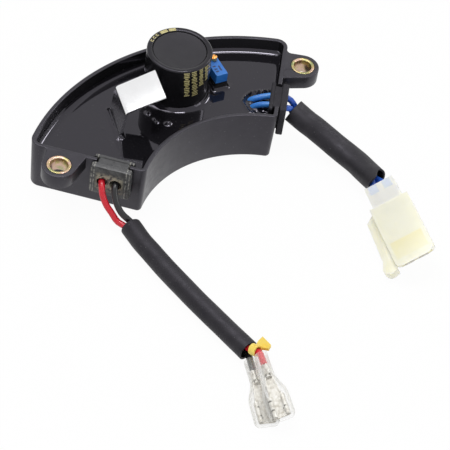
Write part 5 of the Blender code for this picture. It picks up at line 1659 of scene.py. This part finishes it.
def main():
    bpy.context.scene.view_settings.view_transform = "Standard"
    make_camera()
    make_floor()
    make_world()
    for lamp in LAMPS:
        make_lamp(*lamp)
    looks = make_looks()

    red_frame = lying_matrix(*RED_COVER)
    black_frame = lying_matrix(*BLACK_COVER)
    connector_frame = lying_matrix(*CONNECTOR)
    red_tail = [red_frame @ Vector((0, y, 0)) for y in (WIRE_LEAD_IN, 0, -WIRE_IN_COVER)]
    black_tail = [black_frame @ Vector((0, y, 0)) for y in (0, -WIRE_IN_COVER)]
    blue_tails = [
        [connector_frame @ Vector((x, y, CELL_HEIGHT)) for y in (REAR_LENGTH, WIRE_IN_CELL)] for x in CELLS
    ]

    def outer_wire(side, entry, drop, route, twist, sense, tail):
        points = [end_point(side, out, GROMMET_ALONG + across, up) for out, across, up in entry]
        points += [*drop, *pair_in_tube(route, twist, sense), *tail[:-1]]
        return [*smooth_route(points), tail[-1]]

    red_line = outer_wire(-1, RED_ENTRY, RED_DROP, LEFT_TUBE_ROUTE, LEFT_TUBE_TWIST, 1, red_tail)
    black_line = outer_wire(-1, BLACK_ENTRY, BLACK_DROP, LEFT_TUBE_ROUTE, LEFT_TUBE_TWIST, -1, black_tail)
    right_run = (RIGHT_TUBE_ROUTE, RIGHT_TUBE_TWIST)
    blue_a_line = outer_wire(1, BLUE_A_ENTRY, BLUE_A_DROP, *right_run, 1, blue_tails[1])
    blue_b_line = outer_wire(1, BLUE_B_ENTRY, BLUE_B_DROP, *right_run, -1, blue_tails[0])

    make_tray(looks)
    for side, word in ((-1, "left"), (1, "right")):
        make_ear_sleeve(side, word, looks)
    make_grommet(-1, "left", LEFT_MOUTHS, looks["smeared"])
    make_grommet(1, "right", RIGHT_MOUTHS, looks["rubber"])
    make_resin(looks)
    make_capacitor(looks)
    make_trimmer(looks)
    make_screw(looks)
    make_plate(looks)

    left_tube = make_tube("left_tubing", "left_cable_sleeve", LEFT_TUBE_ROUTE, LEFT_TUBE, looks["tube"])
    right_tube = make_tube(
        "right_tubing", "right_cable_sleeve", RIGHT_TUBE_ROUTE, RIGHT_TUBE, looks["tube"],
        RIGHT_SLANT, RIGHT_TUBE_EARLY,
    )
    red_cover = make_cover("red_cover", "red_plug_cover", red_frame, looks["clear"])
    black_cover = make_cover("black_cover", "black_plug_cover", black_frame, looks["clear"])

    soft = {}
    for name, node, edge, look in (
        ("tab_a", "connector_tab_a", 0.00008, "tin"), ("tab_b", "connector_tab_b", 0.00008, "tin"),
    ):
        soft[name] = softened(name, node, edge, looks[look])
    soft["nylon_shell"] = softened(
        "nylon_shell", "connector_shell", SHELL_EDGE, looks["nylon"], connector_frame, shell_place,
    )
    soft["black_plug"] = make_plug("black_plug", "black_flat_plug", black_frame, looks["black_tin"])
    soft["red_plug"] = make_plug("red_plug", "red_flat_plug", red_frame, looks["red_tin"])
    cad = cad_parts
    for node, look in (
        ("circuit_board", "board"), ("power_transistor", "device"), ("bridge_rectifier", "device"),
        ("control_chip", "device"), ("capacitor_can", "can"),
    ):
        cad[node].data.materials.clear()
        cad[node].data.materials.append(looks[look])

    # The blue wires' inner run uses the paler copy of their insulation: painted light on the same wire.
    for word, side, inside in (("a", 1, BLUE_A_INSIDE), ("b", 1, BLUE_B_INSIDE)):
        points = [end_point(side, out, GROMMET_ALONG + across, up) for out, across, up in inside]
        wire_piece("blue_lead_" + word, smooth_route(points), looks["lit_blue"])

    tag = make_marker(pair_in_tube(LEFT_TUBE_ROUTE, LEFT_TUBE_TWIST, 1)[-1], red_tail[0], looks["tag"])
    for name, node, line, look, side, out, end, extra in (
        ("red_lead", "red_wire", red_line, "red", -1, (0.0029, 0.0030, 0.0146), "plug",
         [left_tube, tag, red_cover, soft["red_plug"]]),
        ("black_lead", "black_wire", black_line, "black", -1, (0.0029, -0.0022, 0.0146), "plug",
         [left_tube, black_cover, soft["black_plug"]]),
        ("blue_cord_a", "blue_wire_a", blue_a_line, "blue", 1, (0.0029, 0.0043, 0.0171), "connector",
         [right_tube, soft["nylon_shell"], soft["tab_a"]]),
        ("blue_cord_b", "blue_wire_b", blue_b_line, "blue", 1, (0.0029, -0.0010, 0.0171), "connector",
         [right_tube, soft["nylon_shell"], soft["tab_b"]]),
    ):
        wire = wire_piece(name, line, looks[look])
        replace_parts(wire, node)


main()
